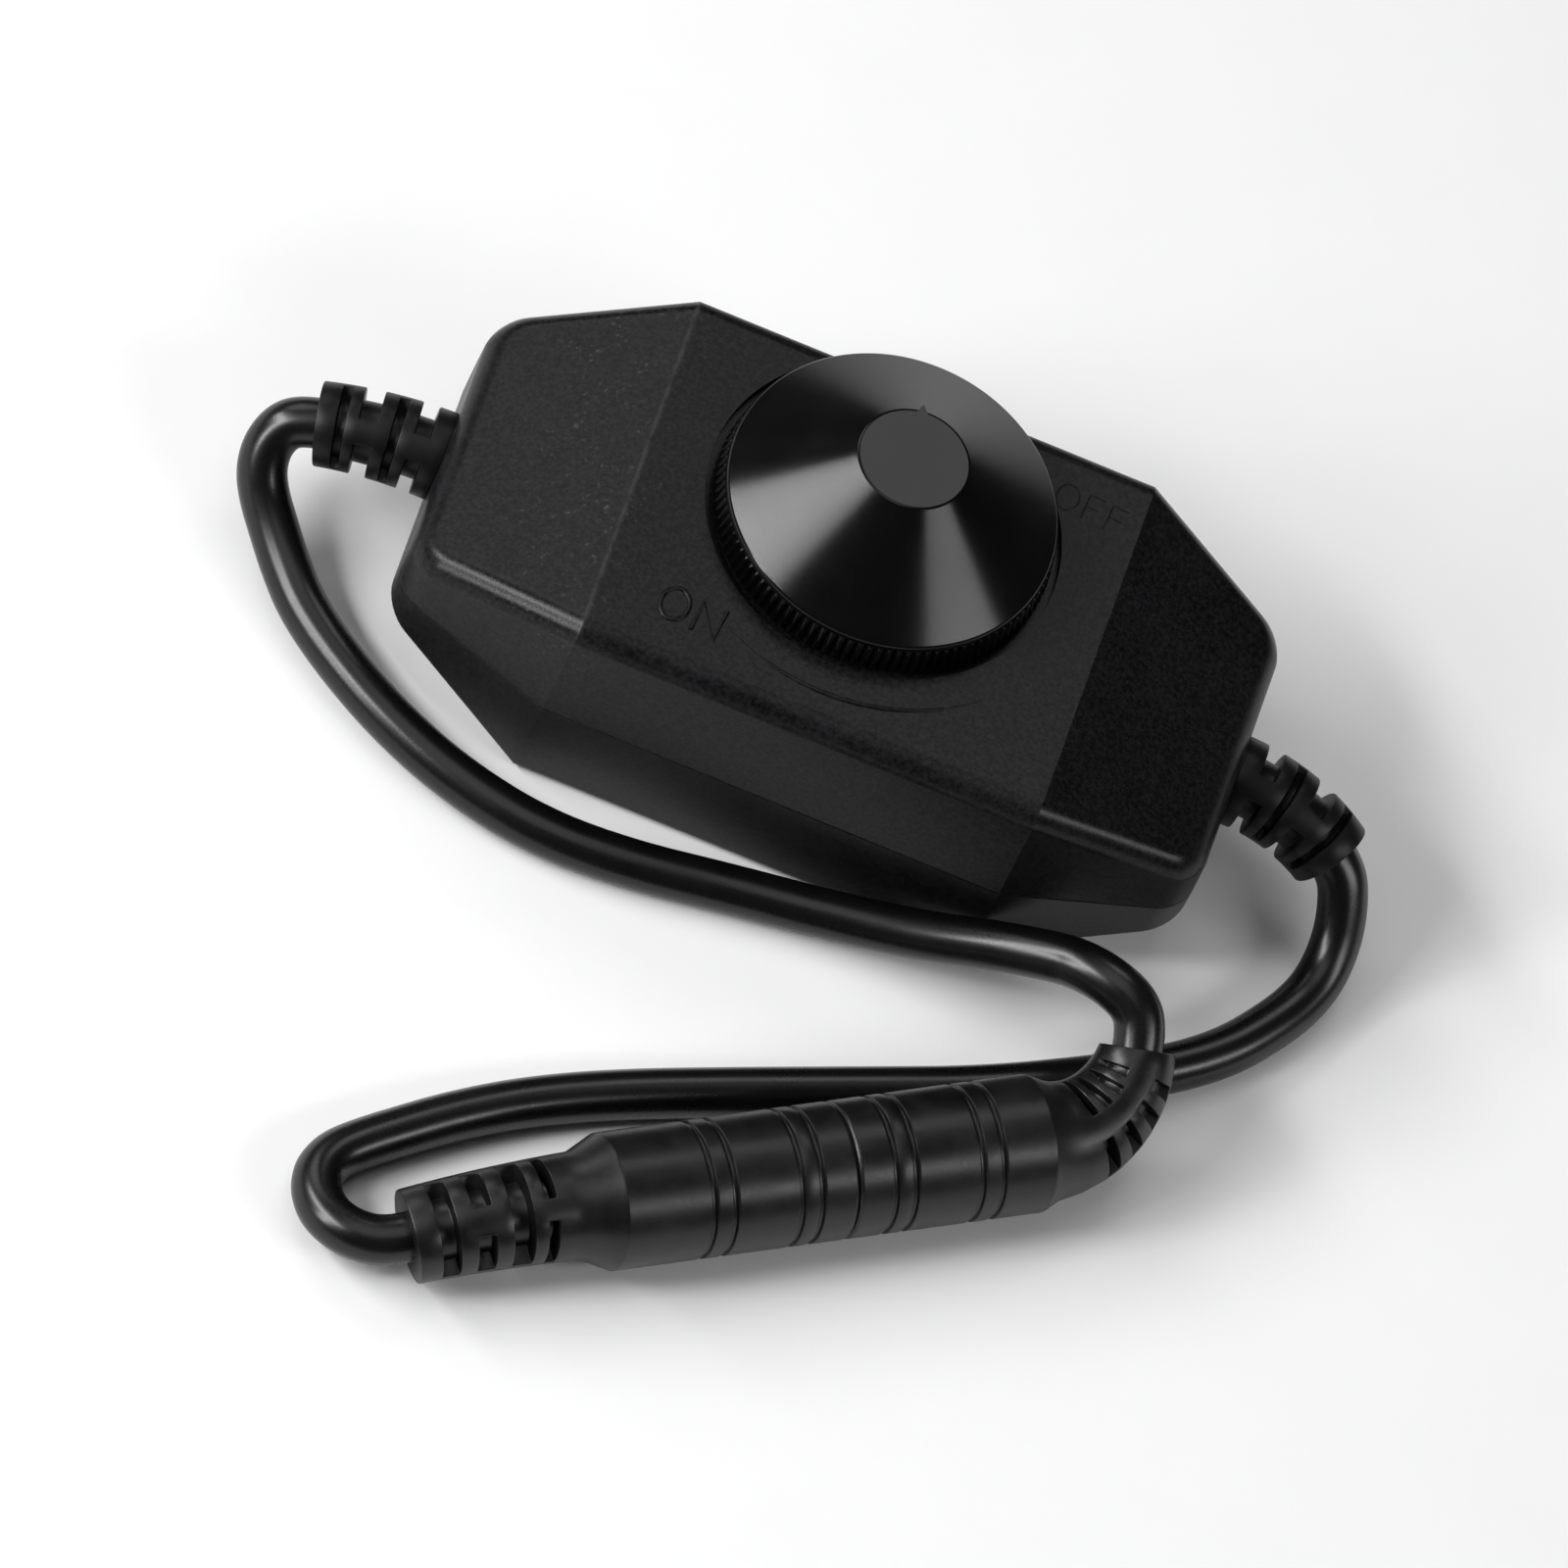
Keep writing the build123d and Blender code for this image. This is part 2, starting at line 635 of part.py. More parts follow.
left_frame = Plane((-half_length, lead_y, parting_height), x_dir=(-1, 0, 0), z_dir=-Vector(*left_boot_bend))
right_frame = Plane((half_length, lead_y, parting_height), x_dir=(1, 0, 0), z_dir=-Vector(*right_boot_bend))
coupling = Vector(cos(radians(coupling_angle)), sin(radians(coupling_angle)), 0)
sideways = Vector(-coupling.Y, coupling.X, 0)
seam = Vector(*seam_point, grip_radius)
jack_frame = Plane(seam, x_dir=-coupling, z_dir=(0, 0, 1))
plug_bend = (sideways * plug_boot_side + Vector(0, 0, plug_boot_lift)).normalized()
plug_frame = Plane(seam, x_dir=coupling, z_dir=-plug_bend)
plug_boot_frame = Plane(
    seam + coupling * (plug_body_length + plug_cone_length), x_dir=coupling, z_dir=-plug_bend)
jack_boot_frame = Plane(
    seam - coupling * (jack_body_length + jack_cone_length), x_dir=-coupling, z_dir=(0, 0, 1))
left_end, left_heading = boot_end(left_frame, case_boot_widths, left_boot_turn)
right_end, right_heading = boot_end(right_frame, case_boot_widths, right_boot_turn)
plug_end, plug_heading = boot_end(plug_boot_frame, plug_boot_widths, plug_boot_turn)
jack_end, jack_heading = boot_end(jack_boot_frame, jack_boot_widths, jack_boot_turn)

barrel_bore = barrel_radius - barrel_wall
sleeve_bore = sleeve_radius - sleeve_wall
parts = {
    "upper_case": make_upper_case(),
    "lower_case": make_lower_case(),
    "case_screws": make_case_screws(),
    "knob": make_knob(),
    "pot_shaft": make_pot_shaft(),
    "pot_wiper": make_pot_wiper(),
    "pot_bushing": make_pot_bushing(),
    "pot_can": make_pot_can(),
    "pot_wafer": make_pot_wafer(),
    "pot_terminals": make_pot_terminals(),
    "pot_washer": make_pot_washer(),
    "pot_nut": make_pot_nut(),
    "circuit_board": make_circuit_board(),
    "power_transistor": make_power_transistor(),
    "timer_chip": make_timer_chip(),
    "filter_capacitor": make_filter_capacitor(),
    "resistors": make_chip_group(resistor_size, resistor_spots),
    "diodes": make_chip_group(diode_size, diode_spots),
    "left_boot": make_case_boot(left_frame, left_boot_turn, left_boot_twist),
    "right_boot": make_case_boot(right_frame, right_boot_turn, right_boot_twist),
    "left_inner_leads": make_inner_leads(-1),
    "right_inner_leads": make_inner_leads(1),
    "left_cord": make_lead("left_cord", lead_points(
        left_end, left_heading, left_exit_run, left_route, plug_exit_run, plug_heading, plug_end)),
    "right_cord": make_lead("right_cord", lead_points(
        right_end, right_heading, right_exit_run, right_route, jack_exit_run, jack_heading, jack_end)),
    "jack_grip": make_jack_grip(jack_frame),
    "jack_sleeve": jack_frame * lying_tube(sleeve_radius, sleeve_bore, 0, sleeve_depth),
    "jack_insert": jack_frame * lying_tube(
        sleeve_bore - contact_fit, pin_radius + contact_fit, sleeve_depth - insert_thickness, sleeve_depth),
    "jack_pin": jack_frame * lying_tube(pin_radius, 0, pin_setback, sleeve_depth),
    "plug_grip": make_plug_grip(plug_frame),
    "plug_barrel": plug_frame * lying_tube(barrel_radius, barrel_bore, -barrel_reach, contact_seat),
    "plug_insulator": plug_frame * lying_tube(
        barrel_bore - contact_fit, tip_outer_radius + contact_fit, -barrel_reach, contact_seat),
    "plug_tip_contact": plug_frame * lying_tube(
        tip_outer_radius, tip_bore_radius, tip_setback - barrel_reach, contact_seat),
}

os.makedirs("parts", exist_ok=True)
for name, part in parts.items():
    export_step(part, f"parts/{name}.step")
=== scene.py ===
"""Looks of the in-line rotary LED dimmer: case, dial, boots, leads and the mated plug and jack."""

import json
import logging
import math
from contextlib import contextmanager
from dataclasses import dataclass
from enum import Enum
from typing import Any, Callable, Iterator, Mapping, Optional, Sequence, Union

import bmesh
import bpy
from mathutils import Matrix, Vector


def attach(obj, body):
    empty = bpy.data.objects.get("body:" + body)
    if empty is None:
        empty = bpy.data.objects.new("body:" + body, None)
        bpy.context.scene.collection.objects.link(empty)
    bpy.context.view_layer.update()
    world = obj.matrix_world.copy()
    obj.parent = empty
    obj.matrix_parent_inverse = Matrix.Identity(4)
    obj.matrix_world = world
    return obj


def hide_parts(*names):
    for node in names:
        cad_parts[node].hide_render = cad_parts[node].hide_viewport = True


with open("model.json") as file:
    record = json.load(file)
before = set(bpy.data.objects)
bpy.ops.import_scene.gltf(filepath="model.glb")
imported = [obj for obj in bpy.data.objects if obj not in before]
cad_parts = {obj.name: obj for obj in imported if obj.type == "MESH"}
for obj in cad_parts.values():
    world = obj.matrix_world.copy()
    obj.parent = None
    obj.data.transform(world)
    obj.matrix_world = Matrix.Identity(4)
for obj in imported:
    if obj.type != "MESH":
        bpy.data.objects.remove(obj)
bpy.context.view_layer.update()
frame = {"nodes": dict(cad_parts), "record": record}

LOG = logging.getLogger("dimmer")
# A millimetre in metres. Lengths are in millimetres unless a comment says metres.
MM = 0.001
# Points of a finished piece that lie closer than this are merged.
WELD = 0.0006
# Distance within which a point lies on a plane or a ring.
NEAR = 0.01
# How far a cutting solid runs past what it cuts.
PAST = 1.0
# Rise per length above which an edge is upright or a face level, and below which a face is a wall.
STEEP, SLANT = 0.8, 0.5

Piece = bpy.types.Object
Pair = tuple[float, float]
Point = tuple[float, float, float]
Colour = tuple[float, float, float]
Profile = Sequence[Pair]


class Kind(Enum):
    """What is picked in edit mode."""

    VERT = "VERT"
    EDGE = "EDGE"
    FACE = "FACE"


class Join(Enum):
    """How a second solid acts on a piece."""

    ADD = "UNION"
    CUT = "DIFFERENCE"


class Half(Enum):
    """The two halves of the case, by the way they face from the parting plane."""

    UPPER = 1
    LOWER = -1

    def of(self, pair: Pair) -> float:
        """This half's value from a pair that holds the upper half's first."""
        return pair[0] if self is Half.UPPER else pair[1]


class Bench:
    """Modelling moves for one piece, which is shaped in millimetres and sized when it is placed."""

    @staticmethod
    def settle() -> None:
        """Leaves edit mode and deselects everything."""
        if bpy.context.mode != "OBJECT":
            bpy.ops.object.mode_set(mode="OBJECT")
        bpy.ops.object.select_all(action="DESELECT")

    @staticmethod
    def take(piece: Piece) -> None:
        """Selects one piece alone and makes it active.

        Args:
            piece: Piece to work on.
        """
        Bench.settle()
        piece.select_set(True)
        bpy.context.view_layer.objects.active = piece

    @staticmethod
    def start(name: str, add: Callable[..., Any], **settings: Any) -> Piece:
        """Adds a primitive.

        Args:
            name: Name of the new piece and of its mesh.
            add: Operator that adds the primitive.
            settings: Sizes that the operator takes.

        Returns:
            The new piece.
        """
        Bench.settle()
        add(**settings)
        piece = bpy.context.active_object
        piece.name = piece.data.name = name
        return piece

    @staticmethod
    def tube(name: str, radius: float, roundness: int) -> Piece:
        """Adds an empty curve whose strokes will be round, capped tubes.

        Args:
            name: Name of the new piece and of its curve.
            radius: Radius of the tubes.
            roundness: Bevel resolution of the tubes.

        Returns:
            The new piece.
        """
        curve = bpy.data.curves.new(name, "CURVE")
        curve.dimensions = "3D"
        curve.bevel_depth = radius
        curve.bevel_resolution = roundness
        curve.use_fill_caps = True
        piece = bpy.data.objects.new(name, curve)
        bpy.context.collection.objects.link(piece)
        return piece

    @staticmethod
    @contextmanager
    def editing(piece: Piece) -> Iterator[None]:
        """Holds a piece in edit mode with all of it selected.

        Args:
            piece: Mesh to be shaped.

        Returns:
            Nothing; the piece is back in object mode at the end.
        """
        Bench.take(piece)
        bpy.ops.object.mode_set(mode="EDIT")
        bpy.ops.mesh.select_all(action="SELECT")
        yield
        bpy.ops.object.mode_set(mode="OBJECT")

    @staticmethod
    def pick(kind: Kind, test: Callable[[Any], bool]) -> None:
        """Selects by place or normal in edit mode.

        Args:
            kind: Vertices, edges or faces.
            test: Tells for one of them whether it is wanted.
        """
        bpy.ops.mesh.select_mode(type=kind.value)
        bpy.ops.mesh.select_all(action="DESELECT")
        mesh = bmesh.from_edit_mesh(bpy.context.edit_object.data)
        items = {Kind.VERT: mesh.verts, Kind.EDGE: mesh.edges, Kind.FACE: mesh.faces}[kind]
        for item in [item for item in items if test(item)]:
            item.select_set(True)
        mesh.select_flush_mode()
        bmesh.update_edit_mesh(bpy.context.edit_object.data)

    @staticmethod
    def swell(share: float, height: float = 0.0) -> None:
        """Resizes what is picked about the Z axis."""
        bpy.ops.transform.resize(value=(share, share, 1), center_override=(0, 0, height))

    @staticmethod
    def narrow(share: float, middle: float = 0.0) -> None:
        """Resizes what is picked along Y, about a middle."""
        bpy.ops.transform.resize(value=(1, share, 1), center_override=(0, middle, 0))

    @staticmethod
    def bevel(test: Callable[[Any], bool], offset: float, segments: int) -> None:
        """Rounds the edges that pass a test."""
        Bench.pick(Kind.EDGE, test)
        bpy.ops.mesh.bevel(offset=offset, segments=segments, affect="EDGES")

    @staticmethod
    def outwards() -> None:
        """Turns all faces of the edited piece outwards."""
        bpy.ops.mesh.select_all(action="SELECT")
        bpy.ops.mesh.normals_make_consistent(inside=False)

    @staticmethod
    def lathe(name: str, profile: Profile, sides: int) -> Piece:
        """Turns a solid from a disc that is extruded and resized ring by ring.

        Args:
            name: Name of the new piece.
            profile: Radius and height of each ring, from one capped end to the other.
            sides: Number of faces around.

        Returns:
            The turned piece, standing on the Z axis.
        """
        (radius, height), *rings = profile
        piece = Bench.start(
            name, bpy.ops.mesh.primitive_circle_add, vertices=sides, radius=radius, fill_type="NGON")
        with Bench.editing(piece):
            bpy.ops.transform.translate(value=(0, 0, height))
            for next_radius, next_height in rings:
                bpy.ops.mesh.extrude_region()
                bpy.ops.transform.translate(value=(0, 0, next_height - height))
                Bench.swell(next_radius / radius, next_height)
                radius, height = next_radius, next_height
            Bench.outwards()
        return piece

    @staticmethod
    def turn(piece: Piece, matrix: Matrix) -> None:
        """Moves a piece by a matrix and applies it.

        Args:
            piece: Piece to move.
            matrix: Its new place.
        """
        Bench.take(piece)
        piece.matrix_world = matrix
        bpy.ops.object.transform_apply(location=True, rotation=True, scale=True)

    @staticmethod
    def copies(piece: Piece, spots: Sequence[Point]) -> Piece:
        """Repeats a solid at several places.

        Args:
            piece: Solid at the origin, used up by this.
            spots: Places of the copies.

        Returns:
            One piece with all the copies in its mesh.
        """
        twins = [piece] + [piece.copy() for _ in spots[1:]]
        for twin, spot in zip(twins, spots):
            if twin is not piece:
                twin.data = piece.data.copy()
                bpy.context.collection.objects.link(twin)
            twin.location = spot
        Bench.take(piece)
        for twin in twins:
            twin.select_set(True)
        bpy.ops.object.transform_apply(location=True, rotation=True, scale=True)
        bpy.ops.object.join()
        return piece

    @staticmethod
    def modify(piece: Piece, kind: str, **settings: Any) -> None:
        """Adds a modifier to a piece and applies it.

        Args:
            piece: Mesh to change.
            kind: Type of the modifier.
            settings: Properties of the modifier.
        """
        Bench.take(piece)
        modifier = piece.modifiers.new(kind.lower(), kind)
        for name, value in settings.items():
            setattr(modifier, name, value)
        bpy.ops.object.modifier_apply(modifier=modifier.name)

    @staticmethod
    def combine(piece: Piece, tool: Piece, join: Join) -> None:
        """Adds a second solid to a piece or cuts it away, and uses it up."""
        Bench.modify(piece, "BOOLEAN", operation=join.value, object=tool, solver="EXACT")
        bpy.data.objects.remove(tool, do_unlink=True)

    @staticmethod
    def place(piece: Piece, matrix: Matrix, smooth: float) -> None:
        """Welds a finished piece, brings it to its place and size and smooths its round faces.

        Args:
            piece: Mesh in millimetres about the origin.
            matrix: Its place in millimetres.
            smooth: Largest angle between faces, in degrees, that is still shaded smooth.
        """
        with Bench.editing(piece):
            bpy.ops.mesh.remove_doubles(threshold=WELD)
        Bench.turn(piece, Matrix.Scale(MM, 4) @ matrix)
        bpy.ops.object.shade_smooth_by_angle(angle=math.radians(smooth))
        Bench.modify(piece, "WEIGHTED_NORMAL", keep_sharp=True)


class Wire:
    """A value in a material's node tree that takes part in arithmetic."""

    def __init__(self, shader: "Shader", socket: bpy.types.NodeSocket) -> None:
        """Holds an output socket of a node in the shader's tree."""
        self.shader = shader
        self.socket = socket

    def math(self, operation: str, *values: "Value") -> "Wire":
        """Feeds values to a Math node.

        Args:
            operation: What the node works out.
            values: Its inputs in order.

        Returns:
            The node's result.
        """
        return self.shader.node("ShaderNodeMath", {"operation": operation}, dict(enumerate(values)))

    def __add__(self, other: "Value") -> "Wire":
        """Sum."""
        return self.math("ADD", self, other)

    def __sub__(self, other: "Value") -> "Wire":
        """Difference."""
        return self.math("SUBTRACT", self, other)

    def __rsub__(self, other: "Value") -> "Wire":
        """Difference from a number."""
        return self.math("SUBTRACT", other, self)

    def __mul__(self, other: "Value") -> "Wire":
        """Product."""
        return self.math("MULTIPLY", self, other)

    def __abs__(self) -> "Wire":
        """Size without sign."""
        return self.math("ABSOLUTE", self)

    __radd__ = __add__
    __rmul__ = __mul__

    def ease(self, low: float, high: float) -> "Wire":
        """Smooth step from 0 at low to 1 at high, which may be the lower number."""
        return self.shader.node(
            "ShaderNodeMapRange", {"interpolation_type": "SMOOTHSTEP"},
            {"Value": self, "From Min": low, "From Max": high})


Value = Union[Wire, float, Sequence[float]]


class Shader:
    """One material with a Principled shader, and the method that adds any other node to it."""

    def __init__(self, name: str) -> None:
        """Starts a node tree with its shader and output alone.

        Args:
            name: Name of the material.
        """
        self.material = bpy.data.materials.new(name)
        self.material.use_nodes = True
        self.tree = self.material.node_tree
        self.tree.nodes.clear()
        self.surface = self.tree.nodes.new("ShaderNodeBsdfPrincipled")
        output = self.tree.nodes.new("ShaderNodeOutputMaterial")
        self.tree.links.new(self.surface.outputs[0], output.inputs["Surface"])

    def feed(self, node: bpy.types.Node, key: Union[str, int], value: Value) -> None:
        """Sets or links one socket of a node.

        Args:
            node: Node with the socket.
            key: Name or number of the socket.
            value: Number, colour or wire.
        """
        if isinstance(key, str):
            socket = next(s for s in node.inputs if s.name == key and s.enabled)
        else:
            socket = node.inputs[key]
        if isinstance(value, Wire):
            self.tree.links.new(value.socket, socket)
        else:
            socket.default_value = value

    def node(self, kind: str, settings: Optional[Mapping[str, Any]] = None,
             sockets: Optional[Mapping[Union[str, int], Value]] = None,
             output: Union[str, int] = 0) -> Wire:
        """Adds any node.

        Args:
            kind: Type of the node.
            settings: Its properties, set first.
            sockets: Values or wires of its inputs.
            output: Name or number of the output that is wanted.

        Returns:
            That output.
        """
        node = self.tree.nodes.new(kind)
        for name, value in (settings or {}).items():
            setattr(node, name, value)
        for key, value in (sockets or {}).items():
            self.feed(node, key, value)
        if isinstance(output, str):
            found = next(s for s in node.outputs if s.name == output and s.enabled)
        else:
            found = [s for s in node.outputs if s.enabled][output]
        return Wire(self, found)

    def place(self) -> Wire:
        """Object coordinates, in metres."""
        return self.node("ShaderNodeTexCoord", output="Object")

    def axis(self, place: Wire, name: str) -> Wire:
        """One coordinate of a place, in millimetres."""
        return self.node("ShaderNodeSeparateXYZ", sockets={"Vector": place}, output=name) * (1 / MM)

    def noise(self, place: Wire, grain: float, detail: float = 2.0, rough: float = 0.5) -> Wire:
        """Noise from 0 to 1.

        Args:
            place: Coordinates in metres.
            grain: Size of its spots.
            detail: Octaves.
            rough: Weight of the finer octaves.

        Returns:
            The noise value.
        """
        return self.node("ShaderNodeTexNoise", output="Fac", sockets={
            "Vector": place, "Scale": 1 / (grain * MM), "Detail": detail, "Roughness": rough})

    def mix(self, share: Value, first: Value, second: Value) -> Wire:
        """Colour between two colours."""
        return self.node(
            "ShaderNodeMix", {"data_type": "RGBA"},
            {"Factor": share, "A": self.tint(first), "B": self.tint(second)}, output="Result")

    @staticmethod
    def tint(colour: Value) -> Value:
        """A colour with its alpha, or a wire as it is."""
        return colour if isinstance(colour, Wire) else (*colour, 1.0)

    def bump(self, height: Wire, depth: float, under: Optional[Wire] = None) -> Wire:
        """Bumps of a surface.

        Args:
            height: Height from 0 to 1.
            depth: Height that 1 stands for.
            under: Normal of coarser bumps below.

        Returns:
            The normal.
        """
        sockets: dict[Union[str, int], Value] = {
            "Height": height, "Strength": 1.0, "Distance": depth * MM}
        if under is not None:
            sockets["Normal"] = under
        return self.node("ShaderNodeBump", sockets=sockets)

    def finish(self, **sockets: Value) -> bpy.types.Material:
        """Feeds the Principled shader.

        Args:
            sockets: Values or wires by the input's name, with underscores for its spaces.

        Returns:
            The finished material.
        """
        for key, value in sockets.items():
            name = key.replace("_", " ")
            socket = self.surface.inputs[name]
            plain = not isinstance(value, Wire) and socket.type == "RGBA"
            self.feed(self.surface, name, self.tint(value) if plain else value)
        return self.material


@dataclass(frozen=True)
class Finish:
    """Finish of a moulded or insulating piece, with fine grain and slight shifts of colour and gloss.

    Grain and patch are the sizes of their spots, depth is the height of the grain, and blend is the
    range of noise over which the colour shifts.
    """

    slot: str
    colour: Colour
    shift: Colour
    roughness: float = 0.5
    spread: float = 0.08
    grain: float = 0.3
    depth: float = 0.01
    patch: float = 4.0
    metallic: float = 0.0
    specular: float = 0.5
    octaves: float = 3.0
    fineness: float = 0.6
    blend: Pair = (0.3, 0.7)

    def make(self) -> bpy.types.Material:
        """Builds the material.

        Returns:
            The material, named after its slot.
        """
        shader = Shader(self.slot)
        place = shader.place()
        patches = shader.noise(place, self.patch, self.octaves)
        grain = shader.noise(place, self.grain, self.octaves, self.fineness)
        return shader.finish(
            Base_Color=shader.mix(patches.ease(*self.blend), self.colour, self.shift),
            Roughness=(patches - 0.5) * self.spread + (grain - 0.5) * self.spread + self.roughness,
            Metallic=self.metallic,
            Specular_IOR_Level=self.specular,
            Normal=shader.bump(grain, self.depth))


@dataclass(frozen=True)
class Metal(Finish):
    """Finish of a rolled, turned or plated piece."""

    depth: float = 0.003
    metallic: float = 1.0


@dataclass(frozen=True)
class SparkedPlastic(Finish):
    """Case plastic from a spark-eroded mould: sandy grain, pale specks, a rubbed crease, glossier rims.

    A pair is where a smooth step begins and where it is full, as a noise value (blend), a height or a
    distance. Sand is measured against the grain.
    """

    octaves: float = 4.0
    fineness: float = 0.7
    grain_gloss: float = 0.12
    sand_size: float = 1.8
    sand_octaves: float = 3.0
    sand_fineness: float = 0.75
    sand_blend: Pair = (0.34, 0.66)
    sand_share: float = 0.8
    sand_depth: float = 1.4
    speck: Colour = (0.090, 0.087, 0.092)
    speck_size: float = 0.46
    speck_blend: Pair = (0.58, 0.76)
    speck_share: float = 0.40
    cluster: float = 2.6
    cluster_blend: Pair = (0.42, 0.62)
    cluster_height: Pair = (15.6, 17.4)
    worn_at: float = -22.5
    worn_reach: Pair = (7.5, 2.0)
    worn_least: float = 0.1
    rub: float = 1.6
    rub_blend: Pair = (0.25, 0.6)
    rub_reach: Pair = (0.32, 0.0)
    rub_height: Pair = (20.4, 21.6)
    rub_share: float = 0.20
    rim_reach: Pair = (2.2, 1.3)
    rim_start: Pair = (-0.1, 0.1)
    rim_gloss: float = 0.09

    def rims(self, shader: Shader, place: Wire, case: "Case") -> Wire:
        """Share of the handled, glossier rounding along the end facets.

        Args:
            shader: Material that is being built.
            place: Object coordinates.
            case: Sizes of the case.

        Returns:
            1 on the rounding, 0 on the flats.
        """
        reach = abs(shader.axis(place, "X")) - case.crease
        over = reach.math("MAXIMUM", reach, 0.0)
        height = shader.axis(place, "Z")
        run = case.length / 2 - case.crease
        below = case.height - over * (case.drops[0] / run) - height
        lean = (height - case.parting) * math.tan(math.radians(case.drafts[0]))
        taper = (case.width - case.end_width) / 2 / run
        inside = case.width / 2 - lean - over * taper - abs(shader.axis(place, "Y"))
        return below.ease(*self.rim_reach) * inside.ease(*self.rim_reach) * reach.ease(*self.rim_start)

    def make(self) -> bpy.types.Material:
        """Builds the material.

        Returns:
            The material, named after its slot.
        """
        case = Case()
        shader = Shader(self.slot)
        place = shader.place()
        across, height = shader.axis(place, "X"), shader.axis(place, "Z")
        patches = shader.noise(place, self.patch, self.octaves)
        sand = shader.noise(place, self.grain * self.sand_size, self.sand_octaves, self.sand_fineness)
        grain = shader.noise(place, self.grain, self.octaves, self.fineness)
        handled = abs(across - self.worn_at).ease(*self.worn_reach)
        worn = handled * (1 - self.worn_least) + self.worn_least
        clusters = shader.noise(place, self.cluster).ease(*self.cluster_blend)
        spots = shader.noise(place, self.speck_size).ease(*self.speck_blend)
        specks = spots * clusters * height.ease(*self.cluster_height) * worn
        crease = abs(across + case.crease).ease(*self.rub_reach) * height.ease(*self.rub_height)
        rub = shader.noise(place, self.rub).ease(*self.rub_blend) * crease
        sandy, patchy = sand.ease(*self.sand_blend), patches.ease(*self.blend)
        tone = sandy * self.sand_share + patchy * (1 - self.sand_share)
        marks = specks * self.speck_share + rub * self.rub_share
        gloss = self.rims(shader, place, case) * self.rim_gloss
        return shader.finish(
            Base_Color=shader.mix(marks, shader.mix(tone, self.colour, self.shift), self.speck),
            Roughness=(patches - 0.5) * self.spread + (grain - 0.5) * self.grain_gloss
            + self.roughness - gloss,
            Specular_IOR_Level=self.specular,
            Normal=shader.bump(grain, self.depth, shader.bump(sand, self.depth * self.sand_depth)))


@dataclass(frozen=True)
class Finishes:
    """All finishes of the dimmer, by the record's material slots."""

    case: Finish = SparkedPlastic(
        "case_plastic", (0.0007, 0.0006, 0.0007), (0.0112, 0.0102, 0.0115),
        roughness=0.35, spread=0.10, grain=0.21, depth=0.007, patch=7.0, specular=0.18)
    knob: Finish = Finish(
        "knob_plastic", (0.0016, 0.0016, 0.0017), (0.0026, 0.0025, 0.0027),
        roughness=0.18, spread=0.06, grain=0.20, depth=0.0026, patch=5.0, specular=0.26)
    boot: Finish = Finish(
        "boot_rubber", (0.0020, 0.0019, 0.0020), (0.0040, 0.0038, 0.0039),
        roughness=0.40, spread=0.12, grain=0.14, depth=0.004, patch=2.4, specular=0.22)
    lead: Finish = Finish(
        "lead_vinyl", (0.0018, 0.0018, 0.0019), (0.0030, 0.0029, 0.0031),
        roughness=0.29, spread=0.10, grain=0.22, depth=0.003, patch=5.0, specular=0.44)
    grip: Finish = Finish(
        "grip_vinyl", (0.0018, 0.0017, 0.0018), (0.0062, 0.0060, 0.0062),
        roughness=0.36, spread=0.14, grain=0.26, depth=0.005, patch=3.0, specular=0.42)
    inner: tuple[Finish, ...] = (
        Metal("screw_steel", (0.42, 0.41, 0.39), (0.52, 0.51, 0.49),
              roughness=0.34, spread=0.16, grain=0.10, patch=1.0),
        Metal("can_steel", (0.55, 0.55, 0.53), (0.62, 0.61, 0.58),
              roughness=0.32, spread=0.14, grain=0.20, patch=2.0),
        Metal("bushing_brass", (0.62, 0.58, 0.50), (0.70, 0.66, 0.57),
              roughness=0.30, spread=0.12, grain=0.12, patch=1.5),
        Metal("shaft_aluminium", (0.66, 0.66, 0.67), (0.72, 0.72, 0.73),
              roughness=0.30, spread=0.14, grain=0.10, patch=1.2),
        Finish("rotor_plastic", (0.05, 0.045, 0.04), (0.07, 0.06, 0.05), roughness=0.50),
        Finish("wafer_laminate", (0.24, 0.12, 0.05), (0.30, 0.16, 0.07), roughness=0.55),
        Finish("board_laminate", (0.02, 0.10, 0.04), (0.03, 0.13, 0.05), roughness=0.40),
        Finish("chip_epoxy", (0.02, 0.02, 0.02), (0.03, 0.03, 0.03), roughness=0.55),
        Metal("capacitor_can", (0.60, 0.60, 0.61), (0.68, 0.68, 0.69),
              roughness=0.28, spread=0.10, grain=0.20, patch=2.0),
        Finish("core_insulation", (0.45, 0.03, 0.02), (0.52, 0.04, 0.03), roughness=0.45),
        Metal("contact_metal", (0.66, 0.65, 0.62), (0.74, 0.73, 0.70),
              roughness=0.26, spread=0.12, grain=0.12, depth=0.002, patch=1.5),
        Finish("insulator_plastic", (0.03, 0.03, 0.03), (0.04, 0.04, 0.04), roughness=0.50),
    )


